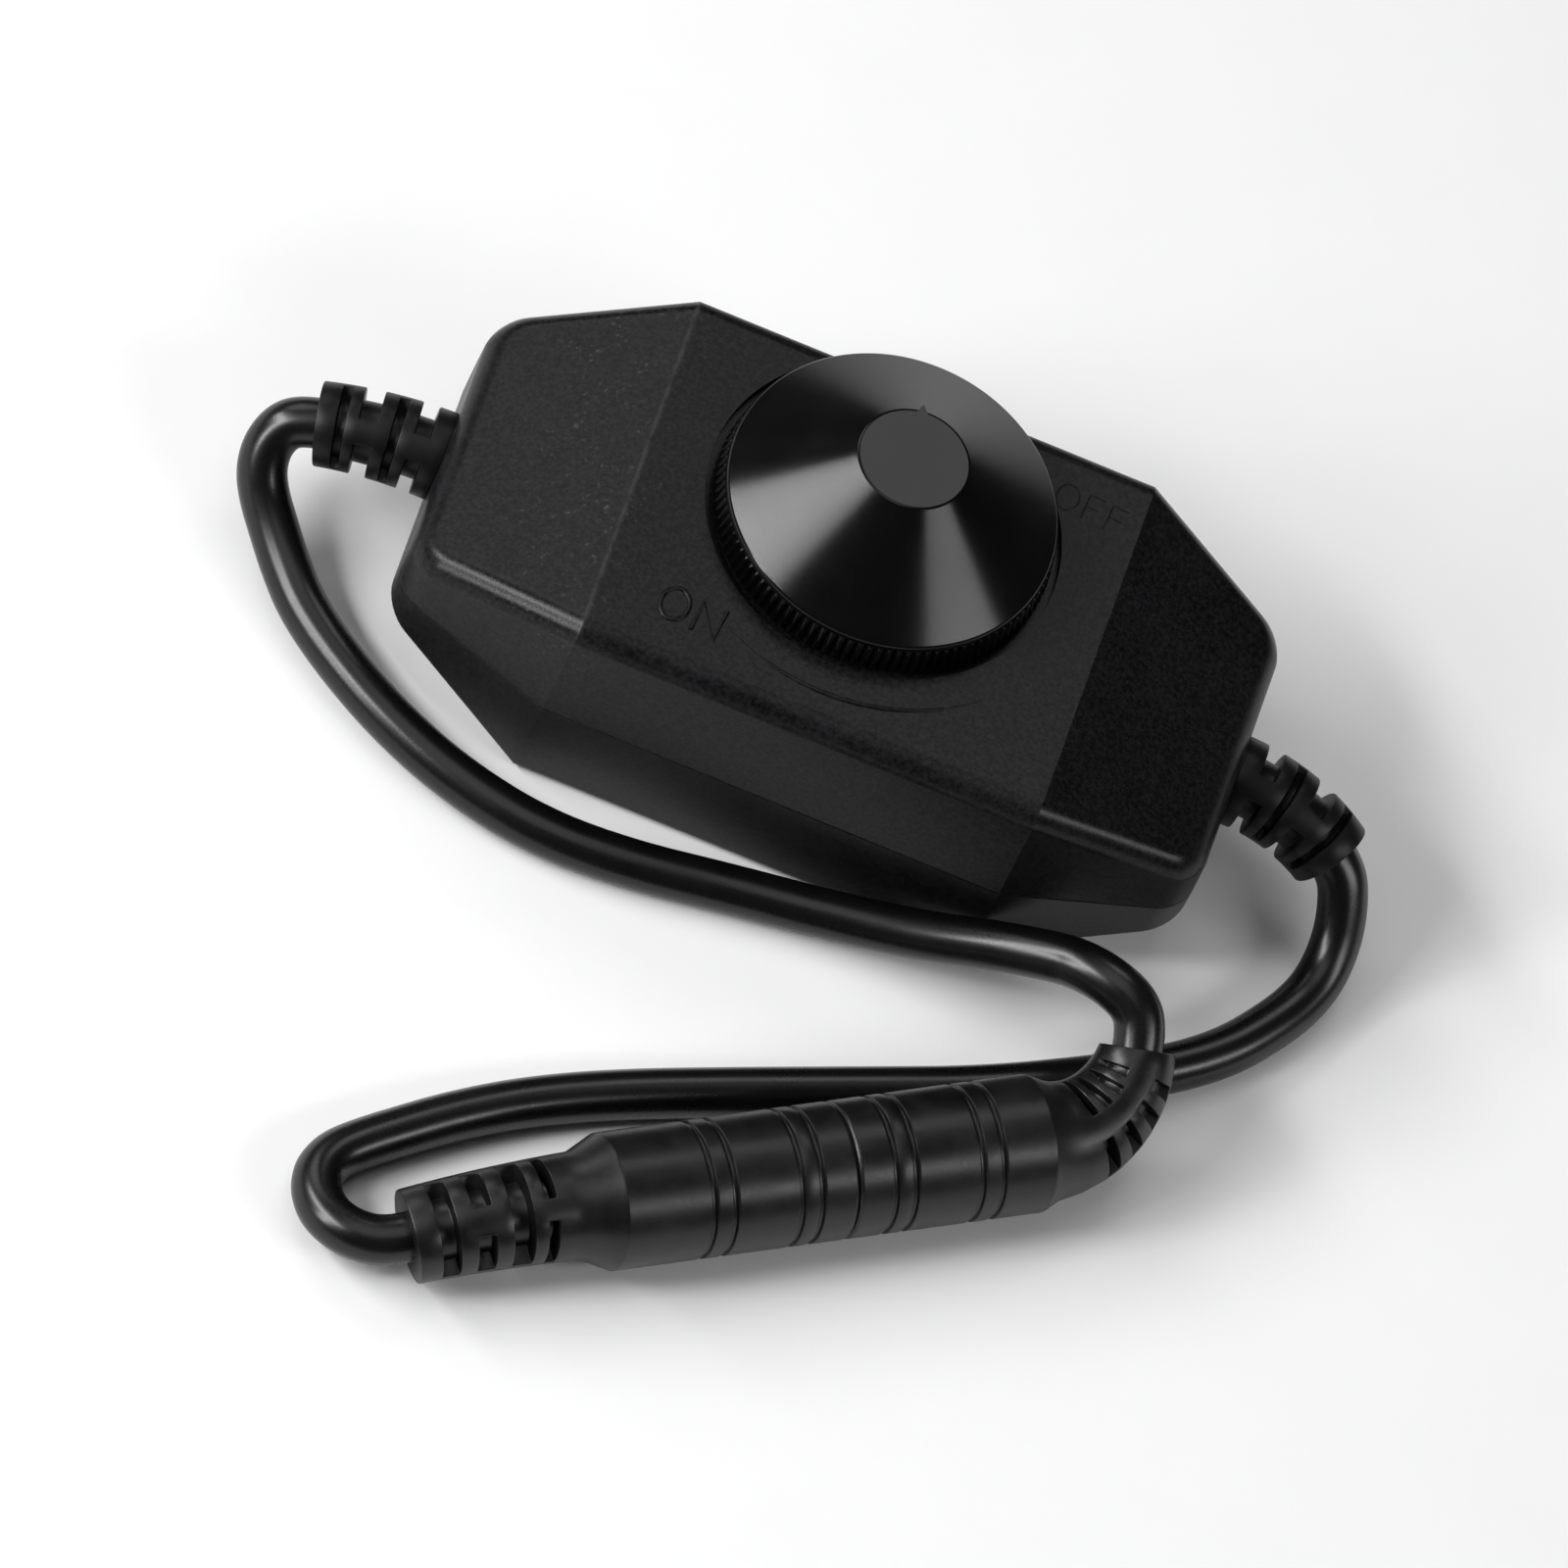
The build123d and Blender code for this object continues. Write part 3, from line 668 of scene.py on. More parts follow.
@dataclass
class Case:
    """Moulded two-part case with creased ends, dial recess, screw bosses and lead exits.

    Pairs of drops, drafts, edges and covers hold the upper half's value first. Bosses, holes, recess,
    seat and exits are given by their radius.
    """

    length: float = 66.6
    width: float = 35.0
    height: float = 22.0
    parting: float = 11.2
    crease: float = 19.15
    end_width: float = 24.6
    drops: Pair = (6.0, 7.0)
    drafts: Pair = (3.0, 6.8)
    edges: Pair = (1.7, 1.0)
    corner: float = 2.45
    wall: float = 1.8
    covers: Pair = (2.4, 2.0)
    seam: float = 0.13
    boss_at: Pair = (15.0, 12.6)
    boss: float = 3.0
    boss_foot: float = 1.0
    boss_top: float = 20.0
    boss_gap: float = 0.02
    pilot_hole: float = 1.15
    pilot_top: float = 17.1
    head_hole: float = 2.2
    head_depth: float = 6.0
    knob_y: float = 3.7
    recess: float = 14.35
    recess_floor: float = 21.2
    bushing_hole: float = 3.6
    lead_y: float = 0.8
    seat: float = 3.75
    seat_depth: float = 2.2
    exit: float = 3.0
    exit_inside: float = 3.6
    smooth: float = 18.0

    def block(self, half: Half, inset: float, cover: float, overlap: float) -> Piece:
        """Shapes a half as a plain solid.

        Args:
            half: Which half.
            inset: How far the walls lie inside the outer surface.
            cover: How far the roof or floor lies inside it.
            overlap: How far the solid runs past the parting plane.

        Returns:
            The solid with sharp edges.
        """
        rise = half.of((self.height - self.parting, self.parting))
        end_x = self.length / 2 - inset
        share = (end_x - self.crease) / (self.length / 2 - self.crease)
        crease_half = self.width / 2 - inset
        end_half = self.width / 2 + (self.end_width - self.width) / 2 * share - inset
        drop = half.of(self.drops) * share
        fall = math.tan(math.radians(half.of(self.drafts)))
        far = self.parting + half.value * (rise - cover)
        near = self.parting - half.value * overlap
        block = Bench.start(f"{half.name.lower()}_block", bpy.ops.mesh.primitive_cube_add, size=1)
        with Bench.editing(block):
            bpy.ops.transform.resize(value=(2 * end_x, 2 * crease_half, abs(far - near)))
            bpy.ops.transform.translate(value=(0, 0, (far + near) / 2))
            for x in (-self.crease, self.crease):
                bpy.ops.mesh.select_all(action="SELECT")
                bpy.ops.mesh.bisect(plane_co=(x, 0, 0), plane_no=(1, 0, 0))
            Bench.pick(Kind.VERT, self.at_end)
            Bench.narrow(end_half / crease_half)
            Bench.pick(Kind.VERT, lambda v: abs(v.co.z - far) < NEAR and not self.at_end(v))
            Bench.narrow(1 - (rise - cover) * fall / crease_half)
            Bench.pick(Kind.VERT, lambda v: abs(v.co.z - far) < NEAR and self.at_end(v))
            Bench.narrow(1 - (rise - cover - drop) * fall / end_half)
            bpy.ops.transform.translate(value=(0, 0, -half.value * drop))
        return block

    def shell(self, half: Half) -> Piece:
        """Rounds a half's corners and rim and hollows it out.

        Args:
            half: Which half.

        Returns:
            The half without its bosses and openings.
        """
        shell = self.block(half, inset=0, cover=0, overlap=0)
        with Bench.editing(shell):
            Bench.bevel(lambda e: self.upright(e) and self.at_end(e.verts[0]), self.corner, segments=8)
            Bench.bevel(lambda e: self.rim(e, half.value), half.of(self.edges), segments=7)
            Bench.bevel(lambda e: self.rim(e, -half.value), self.seam, segments=2)
            Bench.outwards()
        cavity = self.block(half, inset=self.wall, cover=half.of(self.covers), overlap=PAST)
        Bench.combine(shell, cavity, Join.CUT)
        return shell

    def at_end(self, vert: bmesh.types.BMVert) -> bool:
        """Whether a vertex lies past the creases."""
        return abs(vert.co.x) > self.crease + NEAR

    @staticmethod
    def upright(edge: bmesh.types.BMEdge) -> bool:
        """Whether an edge climbs more than it runs."""
        run = edge.verts[1].co - edge.verts[0].co
        return abs(run.z) > STEEP * run.length

    @staticmethod
    def rim(edge: bmesh.types.BMEdge, facing: int) -> bool:
        """Whether an edge lies between a wall and the face that looks up (1) or down (-1)."""
        slopes = sorted(face.normal.z * facing for face in edge.link_faces)
        return len(slopes) == 2 and slopes[0] < SLANT and slopes[1] > STEEP

    def posts(self, profile: Profile) -> Piece:
        """Turns four equal solids, upright at the screw places.

        Args:
            profile: Radius and height of each ring.

        Returns:
            One piece with all four.
        """
        x, y = self.boss_at
        post = Bench.lathe("posts", profile, sides=48)
        return Bench.copies(post, [(i * x, j * y, 0) for i in (-1, 1) for j in (-1, 1)])

    def dial_opening(self) -> Piece:
        """Turns the dial's shallow recess, with the hole for the bushing below it.

        Returns:
            The solid to cut away.
        """
        low = self.height - self.covers[0] - PAST
        opening = Bench.lathe("opening", [
            (self.bushing_hole, low), (self.bushing_hole, self.recess_floor),
            (self.recess, self.recess_floor), (self.recess, self.height + PAST)], sides=160)
        Bench.turn(opening, Matrix.Translation((0, self.knob_y, 0)))
        return opening

    def along_lead(self, profile: Profile) -> Piece:
        """Turns a solid that lies on the axis of the lead exits.

        Args:
            profile: Radius of each ring and its distance from the middle of the case.

        Returns:
            The solid at its place.
        """
        solid = Bench.lathe("exit", profile, sides=64)
        at = Matrix.Translation((0, self.lead_y, self.parting))
        Bench.turn(solid, at @ Matrix.Rotation(math.pi / 2, 4, "Y"))
        return solid

    def seats(self, half: Half) -> Piece:
        """Makes the round seats of the boots at both ends.

        Args:
            half: Which half of the case they belong to.

        Returns:
            The part of both seats on that half.
        """
        end, depth = self.length / 2, self.seat_depth
        seats = self.along_lead([(self.seat, -end), (self.seat, -end + depth)])
        with Bench.editing(seats):
            bpy.ops.mesh.duplicate_move(TRANSFORM_OT_translate={"value": (2 * end - depth, 0, 0)})
            bpy.ops.mesh.select_all(action="SELECT")
            bpy.ops.mesh.bisect(
                plane_co=(0, 0, self.parting), plane_no=(0, 0, half.value),
                use_fill=True, clear_inner=True)
            Bench.outwards()
        return seats

    def build(self, half: Half) -> Piece:
        """Makes one half of the case.

        Args:
            half: Which half.

        Returns:
            The placed piece.
        """
        case = self.shell(half)
        case.name = case.data.name = f"case_{half.name.lower()}"
        Bench.combine(case, self.seats(half), Join.ADD)
        if half is Half.UPPER:
            bosses = [(self.boss, self.parting + self.boss_gap), (self.boss, self.boss_top)]
            holes = [(self.pilot_hole, self.parting - PAST), (self.pilot_hole, self.pilot_top)]
        else:
            bosses = [(self.boss, self.boss_foot), (self.boss, self.parting - self.boss_gap)]
            holes = [
                (self.head_hole, -PAST), (self.head_hole, self.head_depth),
                (self.pilot_hole, self.head_depth), (self.pilot_hole, self.parting + PAST)]
        Bench.combine(case, self.posts(bosses), Join.ADD)
        Bench.combine(case, self.posts(holes), Join.CUT)
        if half is Half.UPPER:
            Bench.combine(case, self.dial_opening(), Join.CUT)
        end = self.length / 2
        inner = end - self.wall
        Bench.combine(case, self.along_lead([
            (self.exit, -end - PAST), (self.exit, -inner), (self.exit_inside, -inner),
            (self.exit_inside, inner), (self.exit, inner), (self.exit, end + PAST)]), Join.CUT)
        Bench.place(case, Matrix.Identity(4), self.smooth)
        return case


# Widths of the letters, and the length and level of the F's middle bar, for letters one unit high.
LETTER_WIDTHS = {"O": 0.76, "N": 0.66, "F": 0.55}
F_BAR = (0.46, 0.52)


@dataclass
class Marks:
    """Raised words and the swelling arc beside the dial, placed from the dial's axis.

    Swells are shares of the stroke's radius. The arc's two are the one at its ends and what its middle
    has more.
    """

    case: Case
    stroke: float = 0.19
    roundness: int = 3
    sunk: float = 0.06
    on_at: Pair = (-11.6, -14.85)
    on_height: float = 3.0
    on_swell: float = 1.15
    off_at: Pair = (14.9, 8.25)
    off_height: float = 2.4
    off_swell: float = 0.52
    lean: float = -5.0
    gap: float = 0.27
    round_steps: int = 24
    arc_radius: float = 17.2
    arc_from: float = 238.0
    arc_to: float = 318.0
    arc_steps: int = 40
    arc_swell: Pair = (0.25, 0.95)
    smooth: float = 50.0

    def letter(self, letter: str) -> list[list[Pair]]:
        """Strokes of a letter in a box one unit high.

        Args:
            letter: O, N or F.

        Returns:
            Lists of points; a closed stroke ends where it began.
        """
        width = LETTER_WIDTHS[letter]
        if letter == "O":
            turn = [2 * math.pi * i / self.round_steps for i in range(self.round_steps + 1)]
            return [[(width / 2 * (1 + math.cos(a)), (1 + math.sin(a)) / 2) for a in turn]]
        if letter == "N":
            return [[(0, 0), (0, 1), (width, 0), (width, 1)]]
        bar, level = F_BAR
        return [[(0, 0), (0, 1), (width, 1)], [(0, level), (bar, level)]]

    def word(self, text: str, height: float) -> list[list[Pair]]:
        """Sets the letters of a word, evenly spaced and leaning.

        Args:
            text: Its letters.
            height: Their height.

        Returns:
            Strokes, centred on the origin.
        """
        at = -(sum(LETTER_WIDTHS[letter] for letter in text) + self.gap * (len(text) - 1)) / 2
        cos, sin = math.cos(math.radians(self.lean)), math.sin(math.radians(self.lean))
        strokes = []
        for letter in text:
            for stroke in self.letter(letter):
                spots = [((x + at) * height, (y - 0.5) * height) for x, y in stroke]
                strokes.append([(x * cos - y * sin, x * sin + y * cos) for x, y in spots])
            at += LETTER_WIDTHS[letter] + self.gap
        return strokes

    @staticmethod
    def ridge(curve: bpy.types.Curve, spots: Sequence[Pair], swell: Sequence[float]) -> None:
        """Adds one stroke to a curve, closed where its ends meet.

        Args:
            curve: Curve of all strokes.
            spots: Points of the stroke.
            swell: Share of the radius at each point.
        """
        closed = math.dist(spots[0], spots[-1]) < NEAR
        line = spots[:-1] if closed else spots
        spline = curve.splines.new("POLY")
        spline.points.add(len(line) - 1)
        for point, (x, y), share in zip(spline.points, line, swell):
            point.co = (x, y, 0, 1)
            point.radius = share
        spline.use_cyclic_u = closed

    def build(self) -> Piece:
        """Draws the strokes as rounded ridges that stand half out of the top.

        Returns:
            The placed piece.
        """
        marks = Bench.tube("case_marks", self.stroke, self.roundness)
        for text, at, height, share in (
                ("ON", self.on_at, self.on_height, self.on_swell),
                ("OFF", self.off_at, self.off_height, self.off_swell)):
            for stroke in self.word(text, height):
                spots = [(x + at[0], y + at[1]) for x, y in stroke]
                self.ridge(marks.data, spots, [share] * len(spots))
        steps = [i / self.arc_steps for i in range(self.arc_steps + 1)]
        angles = [math.radians(self.arc_from + (self.arc_to - self.arc_from) * step) for step in steps]
        spots = [(self.arc_radius * math.cos(a), self.arc_radius * math.sin(a)) for a in angles]
        ends, more = self.arc_swell
        self.ridge(marks.data, spots, [ends + more * math.sin(math.pi * step) for step in steps])
        Bench.take(marks)
        bpy.ops.object.convert(target="MESH")
        marks = bpy.context.active_object
        lift = Matrix.Translation((0, self.case.knob_y, self.case.height - self.sunk))
        Bench.place(marks, lift, self.smooth)
        return marks


@dataclass
class Knob:
    """Dial knob: cone with a flat top and a pointer nib over a knurled skirt.

    Radii and heights are measured from the dial's axis and the top of the case.
    """

    case: Case
    height: float = 9.27
    top: float = 4.45
    top_round: float = 0.13
    rim: float = 13.35
    rim_low: float = 2.30
    rim_high: float = 2.85
    rim_edge: Pair = (0.12, 0.1)
    rim_round: float = 0.30
    skirt_top: float = 13.45
    skirt_foot: float = 13.75
    chamfer: float = 0.2
    drop: float = 0.3
    teeth: int = 108
    tooth: float = 0.30
    steps: int = 8
    bore: float = 3.02
    bore_end: float = 7.8
    flat: float = 1.52
    hub: float = 5.2
    hub_foot: float = 3.9
    hollow: float = 12.0
    hollow_low: float = 1.83
    hollow_high: float = 6.73
    nib: float = 1.0
    nib_depth: float = 1.2
    nib_round: float = 0.16
    nib_angle: float = 98.0
    nib_reach: float = 4.95
    smooth: float = 34.0

    def build(self) -> Piece:
        """Turns the knob, knurls its skirt and adds the nib.

        Returns:
            The placed piece.
        """
        edge_in, edge_up = self.rim_edge
        knob = Bench.lathe("dial_knob", [
            (self.bore, self.bore_end), (self.bore, self.hub_foot), (self.hub, self.hub_foot),
            (self.hub, self.hollow_high), (self.hollow, self.hollow_low), (self.hollow, -self.drop),
            (self.skirt_foot - self.chamfer, -self.drop), (self.skirt_foot, -self.drop + self.chamfer),
            (self.skirt_top, self.rim_low - self.chamfer), (self.skirt_top - self.chamfer, self.rim_low),
            (self.rim - edge_in, self.rim_low), (self.rim, self.rim_low + edge_up),
            (self.rim, self.rim_high), (self.top, self.height)], self.teeth * self.steps)
        with Bench.editing(knob):
            Bench.pick(Kind.VERT, lambda v: v.co.xy.length < self.bore + NEAR and v.co.y < -self.flat)
            Bench.narrow(0, -self.flat)
            self.knurl()
            Bench.bevel(lambda e: self.on_ring(e, self.rim, self.rim_high), self.rim_round, segments=5)
            Bench.bevel(lambda e: self.on_ring(e, self.top, self.height), self.top_round, segments=5)
            Bench.outwards()
        Bench.combine(knob, self.pointer(), Join.ADD)
        Bench.place(knob, Matrix.Translation((0, self.case.knob_y, self.case.height)), self.smooth)
        return knob

    @staticmethod
    def on_ring(edge: bmesh.types.BMEdge, radius: float, height: float) -> bool:
        """Whether an edge lies on a ring about the axis."""
        return all(
            abs(v.co.xy.length - radius) < NEAR and abs(v.co.z - height) < NEAR for v in edge.verts)

    def at_step(self, vert: bmesh.types.BMVert, step: int) -> bool:
        """Whether a vertex lies on the skirt at one step of a tooth.

        Args:
            vert: Vertex of the knob.
            step: Number of the step, counted both ways from the crest of the tooth.

        Returns:
            True where it does.
        """
        low, high = -self.drop + self.chamfer / 2, self.rim_low - self.chamfer / 2
        if vert.co.xy.length < self.skirt_top - self.chamfer or not low < vert.co.z < high:
            return False
        turns = math.atan2(vert.co.y, vert.co.x) / (2 * math.pi)
        phase = turns * self.teeth * self.steps % self.steps
        return min(abs(phase - step), abs(phase - (self.steps - step))) < 0.5

    def knurl(self) -> None:
        """Presses the valleys between the skirt's teeth in, step by step round each tooth."""
        for step in range(1, self.steps // 2 + 1):
            Bench.pick(Kind.VERT, lambda v: self.at_step(v, step))
            depth = self.tooth * (1 - math.cos(2 * math.pi * step / self.steps)) / 2
            Bench.swell(1 - depth / self.skirt_foot)

    def pointer(self) -> Piece:
        """Makes the small nib that runs out over the edge of the flat top.

        Returns:
            The nib at its place on the knob.
        """
        nib = Bench.start(
            "nib", bpy.ops.mesh.primitive_cylinder_add,
            vertices=3, radius=self.nib, depth=self.nib_depth)
        with Bench.editing(nib):
            Bench.bevel(Case.upright, self.nib_round, segments=3)
            Bench.outwards()
        heading = Matrix.Rotation(math.radians(self.nib_angle - 90), 4, "Z")
        out = self.nib_reach - (self.nib - self.nib_round)
        Bench.turn(nib, heading @ Matrix.Translation((0, out, self.height - self.nib_depth / 2)))
        return nib


@dataclass
class SlottedBoot:
    """Turned cover with a slotted strain-relief boot that may be bent along its length.

    Widths run along the boot, ring and slot by turns. Base and tip are its radii at both ends, core the
    radius at the bottom of a slot, and skin how deep a face may lie and still be outside. Rings above wide
    get a middle edge, and edges sharper than crisp degrees are rounded. Turn is the bend in degrees.
    """

    name: str
    body: Profile
    widths: Sequence[float]
    base: float
    tip: float
    bridges: Sequence[Sequence[float]]
    turn: float
    start: Point
    axis: Point
    bend: Point
    core: float = 2.45
    bridge: float = 2.1
    skin: float = 0.5
    wide: float = 1.2
    edge: float = 0.11
    crisp: float = 24.0
    smooth: float = 32.0
    sides: int = 72

    def length(self) -> float:
        """Length of the boot along its axis."""
        return sum(self.widths)

    def radius(self, height: float) -> float:
        """Radius of the boot's rings at a height."""
        return self.base + (self.tip - self.base) * height / self.length()

    def rings(self) -> list[Pair]:
        """Lists the ring edges, with a middle one in the wide rings.

        Returns:
            Radius and height of each.
        """
        rings, start = [], 0.0
        for width in self.widths:
            parts = 2 if width > self.wide else 1
            heights = [start + width * i / parts for i in range(parts)]
            rings += [(self.radius(height), height) for height in heights]
            start += width
        return rings + [(self.tip, start)]

    def build(self) -> Piece:
        """Turns the piece, presses its slots in, rounds its edges and bends it.

        Returns:
            The placed piece.
        """
        piece = Bench.lathe(self.name, [*self.body, *self.rings()], self.sides)
        with Bench.editing(piece):
            start = 0.0
            for i, width in enumerate(self.widths):
                if i % 2:
                    self.slot(start, start + width, self.bridges[i // 2 % len(self.bridges)])
                start += width
            Bench.outwards()
        Bench.modify(
            piece, "BEVEL", width=self.edge, segments=2, limit_method="ANGLE",
            angle_limit=math.radians(self.crisp))
        low = min(height for _, height in self.body)
        first = -low / (self.length() - low)
        Bench.modify(
            piece, "SIMPLE_DEFORM", deform_method="BEND", deform_axis="X",
            angle=math.radians(self.turn), limits=(first, 1.0))
        ahead, side = Vector(self.axis).normalized(), Vector(self.bend).normalized()
        place = Matrix((side.cross(ahead), side, ahead)).transposed().to_4x4()
        place.translation = self.start
        Bench.place(piece, place, self.smooth)
        return piece

    def slot(self, low: float, high: float, bridges: Sequence[float]) -> None:
        """Presses one slot in, leaving bridges across it.

        Args:
            low: Height of the slot's lower edge.
            high: Height of its upper edge.
            bridges: Angles of the bridges in degrees, each with one opposite.
        """
        middle = (low + high) / 2
        radius = self.radius(middle)
        keep = self.bridge / 2 / radius

        def wanted(face: bmesh.types.BMFace) -> bool:
            """Whether a face lies in the slot and outside the bridges.

            Args:
                face: Face of the piece.

            Returns:
                True where it does.
            """
            spot = face.calc_center_median()
            if not low < spot.z < high or spot.xy.length < radius - self.skin:
                return False
            around = math.atan2(spot.y, spot.x)
            return all(abs(math.sin(around - math.radians(angle))) > keep for angle in bridges)

        Bench.pick(Kind.FACE, wanted)
        bpy.ops.mesh.extrude_region()
        Bench.swell(self.core / radius, middle)


@dataclass(frozen=True)
class Coupling:
    """Sizes of the cover on one half of the coupling.

    Side is 1 for the plug and -1 for the jack. Grip and foot are where the grip ends and the boot
    begins, from the seam. Bore is a radius and a depth, radii are the boot's at its foot and tip, and
    bend says how far it leans aside and up.
    """

    name: str
    side: int
    grip: float
    foot: float
    bore: Pair
    radii: Pair
    widths: Sequence[float]
    bridges: Sequence[Sequence[float]]
    turn: float
    bend: Pair


@dataclass
class Boots:
    """The two boots at the case and the covers of the mated plug and jack.

    Flange and neck are a radius and a distance from the case's end.
    """

    case: Case
    seam: Point = (14.78, -43.22, 5.42)
    coupling_angle: float = 33.9
    grip: float = 5.42
    grip_round: float = 0.25
    grooves: Sequence[float] = (3.1, 4.75, 10.35, 12.1)
    groove_width: float = 0.5
    groove_depth: float = 0.3
    groove_flank: float = 0.08
    flange: Pair = (3.5, 3.2)
    neck: Pair = (2.95, 0.05)
    collar: float = 3.52
    case_radii: Pair = (3.62, 3.35)
    case_widths: Sequence[float] = (1.4, 1.2, 1.0, 0.7, 1.1, 1.4, 0.9, 0.7, 1.5)
    jack: Coupling = Coupling(
        "jack_cover", -1, grip=19.3, foot=21.7, bore=(3.32, 10.5), radii=(4.25, 3.75),
        widths=(2.7, 0.8, 1.1, 1.6, 1.4, 1.4, 1.4, 1.4, 1.8),
        bridges=((62.6, 152.6), (152.6,)), turn=12.0, bend=(0.0, -1.0))
    plug: Coupling = Coupling(
        "plug_cover", 1, grip=16.5, foot=17.9, bore=(2.77, 5.0), radii=(4.75, 3.0),
        widths=(2.8, 0.85, 0.95, 0.85, 0.95, 0.85, 0.95, 0.85, 1.95),
        bridges=((-5.3, 84.7),), turn=74.0, bend=(0.84, 0.54))

    def at_case(self, name: str, side: int, turn: float, bend: Point, twist: float) -> SlottedBoot:
        """Boot at one end of the case, with its neck and flange.

        Args:
            name: Name of the piece.
            side: -1 for the left end, 1 for the right.
            turn: Its bend in degrees.
            bend: Direction that it bends to.
            twist: Angle of its first bridges in degrees.

        Returns:
            The boot, ready to build.
        """
        flange, back = self.flange
        neck, front = self.neck
        wall = self.case.wall
        body = [(flange, -back), (flange, -wall), (neck, -wall), (neck, -front), (self.collar, 0.0)]
        return SlottedBoot(
            name, body, self.case_widths, *self.case_radii, ((twist,), (twist + 90,)), turn,
            (side * self.case.length / 2, self.case.lead_y, self.case.parting), (side, 0, 0), bend)

    def cover(self, half: Coupling) -> Profile:
        """Profile of a cover below its boot.

        Args:
            half: Which half of the coupling.

        Returns:
            Rings by radius and height, with the boot's foot at 0.
        """
        bore, depth = half.bore
        rings = [
            (bore, depth), (bore, 0.0), (self.grip - self.grip_round, 0.0), (self.grip, self.grip_round)]
        for spot in self.grooves:
            low, high = spot - self.groove_width / 2, spot + self.groove_width / 2
            floor = self.grip - self.groove_depth
            rings += [(self.grip, low), (floor, low + self.groove_flank)]
            rings += [(floor, high - self.groove_flank), (self.grip, high)]
        rings.append((self.grip, half.grip))
        return [(radius, height - half.foot) for radius, height in rings]

    def coupled(self, half: Coupling) -> SlottedBoot:
        """Cover of one half of the coupling, with its boot.

        Args:
            half: Which half.

        Returns:
            The cover, ready to build.
        """
        angle = math.radians(self.coupling_angle)
        across = Vector((-math.sin(angle), math.cos(angle), 0))
        away = Vector((math.cos(angle), math.sin(angle), 0)) * half.side
        aside, up = half.bend
        return SlottedBoot(
            half.name, self.cover(half), half.widths, *half.radii, half.bridges, half.turn,
            tuple(Vector(self.seam) + away * half.foot), tuple(away),
            tuple(across * aside + Vector((0, 0, up))))


@dataclass
class Lead:
    """One round vinyl lead on its route, from a boot at the case to a boot at the coupling."""

    name: str
    length: float
    far_end: str
    route: Sequence[Point]
    diameter: float = 4.0
    roundness: int = 8
    steps: int = 16

    def build(self) -> Piece:
        """Lays the lead as one smooth spline through the route's control points.

        Returns:
            The curve.
        """
        lead = Bench.tube(self.name, self.diameter / 2 * MM, self.roundness)
        lead.data.resolution_u = self.steps
        spline = lead.data.splines.new("NURBS")
        spline.points.add(len(self.route) - 1)
        for point, place in zip(spline.points, self.route):
            point.co = (*(MM * value for value in place), 1)
        spline.order_u = 3
        spline.use_endpoint_u = True
        return lead


LEFT_ROUTE = (
    (-43.07, 0.17, 9.98), (-44.51, -0.02, 9.61), (-45.6, -0.65, 8.8), (-46.1, -1.8, 7.5),
    (-45.85, -3.2, 6.1), (-44.8, -4.6, 4.8), (-43.1, -6.4, 3.7), (-41.2, -8.6, 2.8),
    (-38.8, -11.2, 2.2), (-34.7, -14.4, 2.0), (-29.3, -17.8, 2.0), (-23.1, -20.5, 2.0),
    (-15.8, -22.1, 2.0), (-8.2, -21.8, 2.0), (0.0, -20.4, 2.1), (7.8, -19.6, 2.7),
    (14.8, -19.3, 4.4), (20.6, -19.0, 6.7), (25.4, -19.4, 9.1), (27.6, -20.1, 10.3),
    (29.9, -20.9, 10.8), (32.0, -21.7, 10.5), (33.14, -22.88, 9.69), (33.54, -24.36, 8.76),
)
RIGHT_ROUTE = (
    (42.63, -0.64, 8.74), (44.04, -1.12, 7.92), (45.2, -2.9, 6.0), (45.8, -5.0, 4.0),
    (45.7, -7.6, 2.5), (44.8, -10.4, 2.0), (43.1, -13.5, 2.0), (40.7, -17.0, 2.0),
    (37.0, -20.5, 2.0), (31.4, -24.3, 2.0), (23.9, -28.9, 2.0), (15.1, -33.2, 2.0),
    (5.8, -37.7, 2.0), (-2.8, -42.0, 2.0), (-9.2, -45.8, 2.0), (-14.2, -49.6, 2.0),
    (-17.9, -53.0, 2.0), (-20.2, -55.2, 2.0), (-21.9, -57.2, 2.1), (-22.6, -59.4, 2.3),
    (-22.1, -61.6, 2.6), (-20.7, -63.3, 3.0), (-18.5, -64.2, 3.4), (-15.9, -63.84, 3.63),
    (-14.44, -62.85, 4.0),
)


@dataclass(frozen=True)
class Softbox:
    """A rectangular soft lamp that faces the object.

    It hangs in the direction toward, with its longer side along. Size and distance are in metres, and
    radiance is the brightness of its face, where 1 is white.
    """

    name: str
    toward: Point
    along: Point
    size: Pair
    radiance: float
    distance: float = 0.7


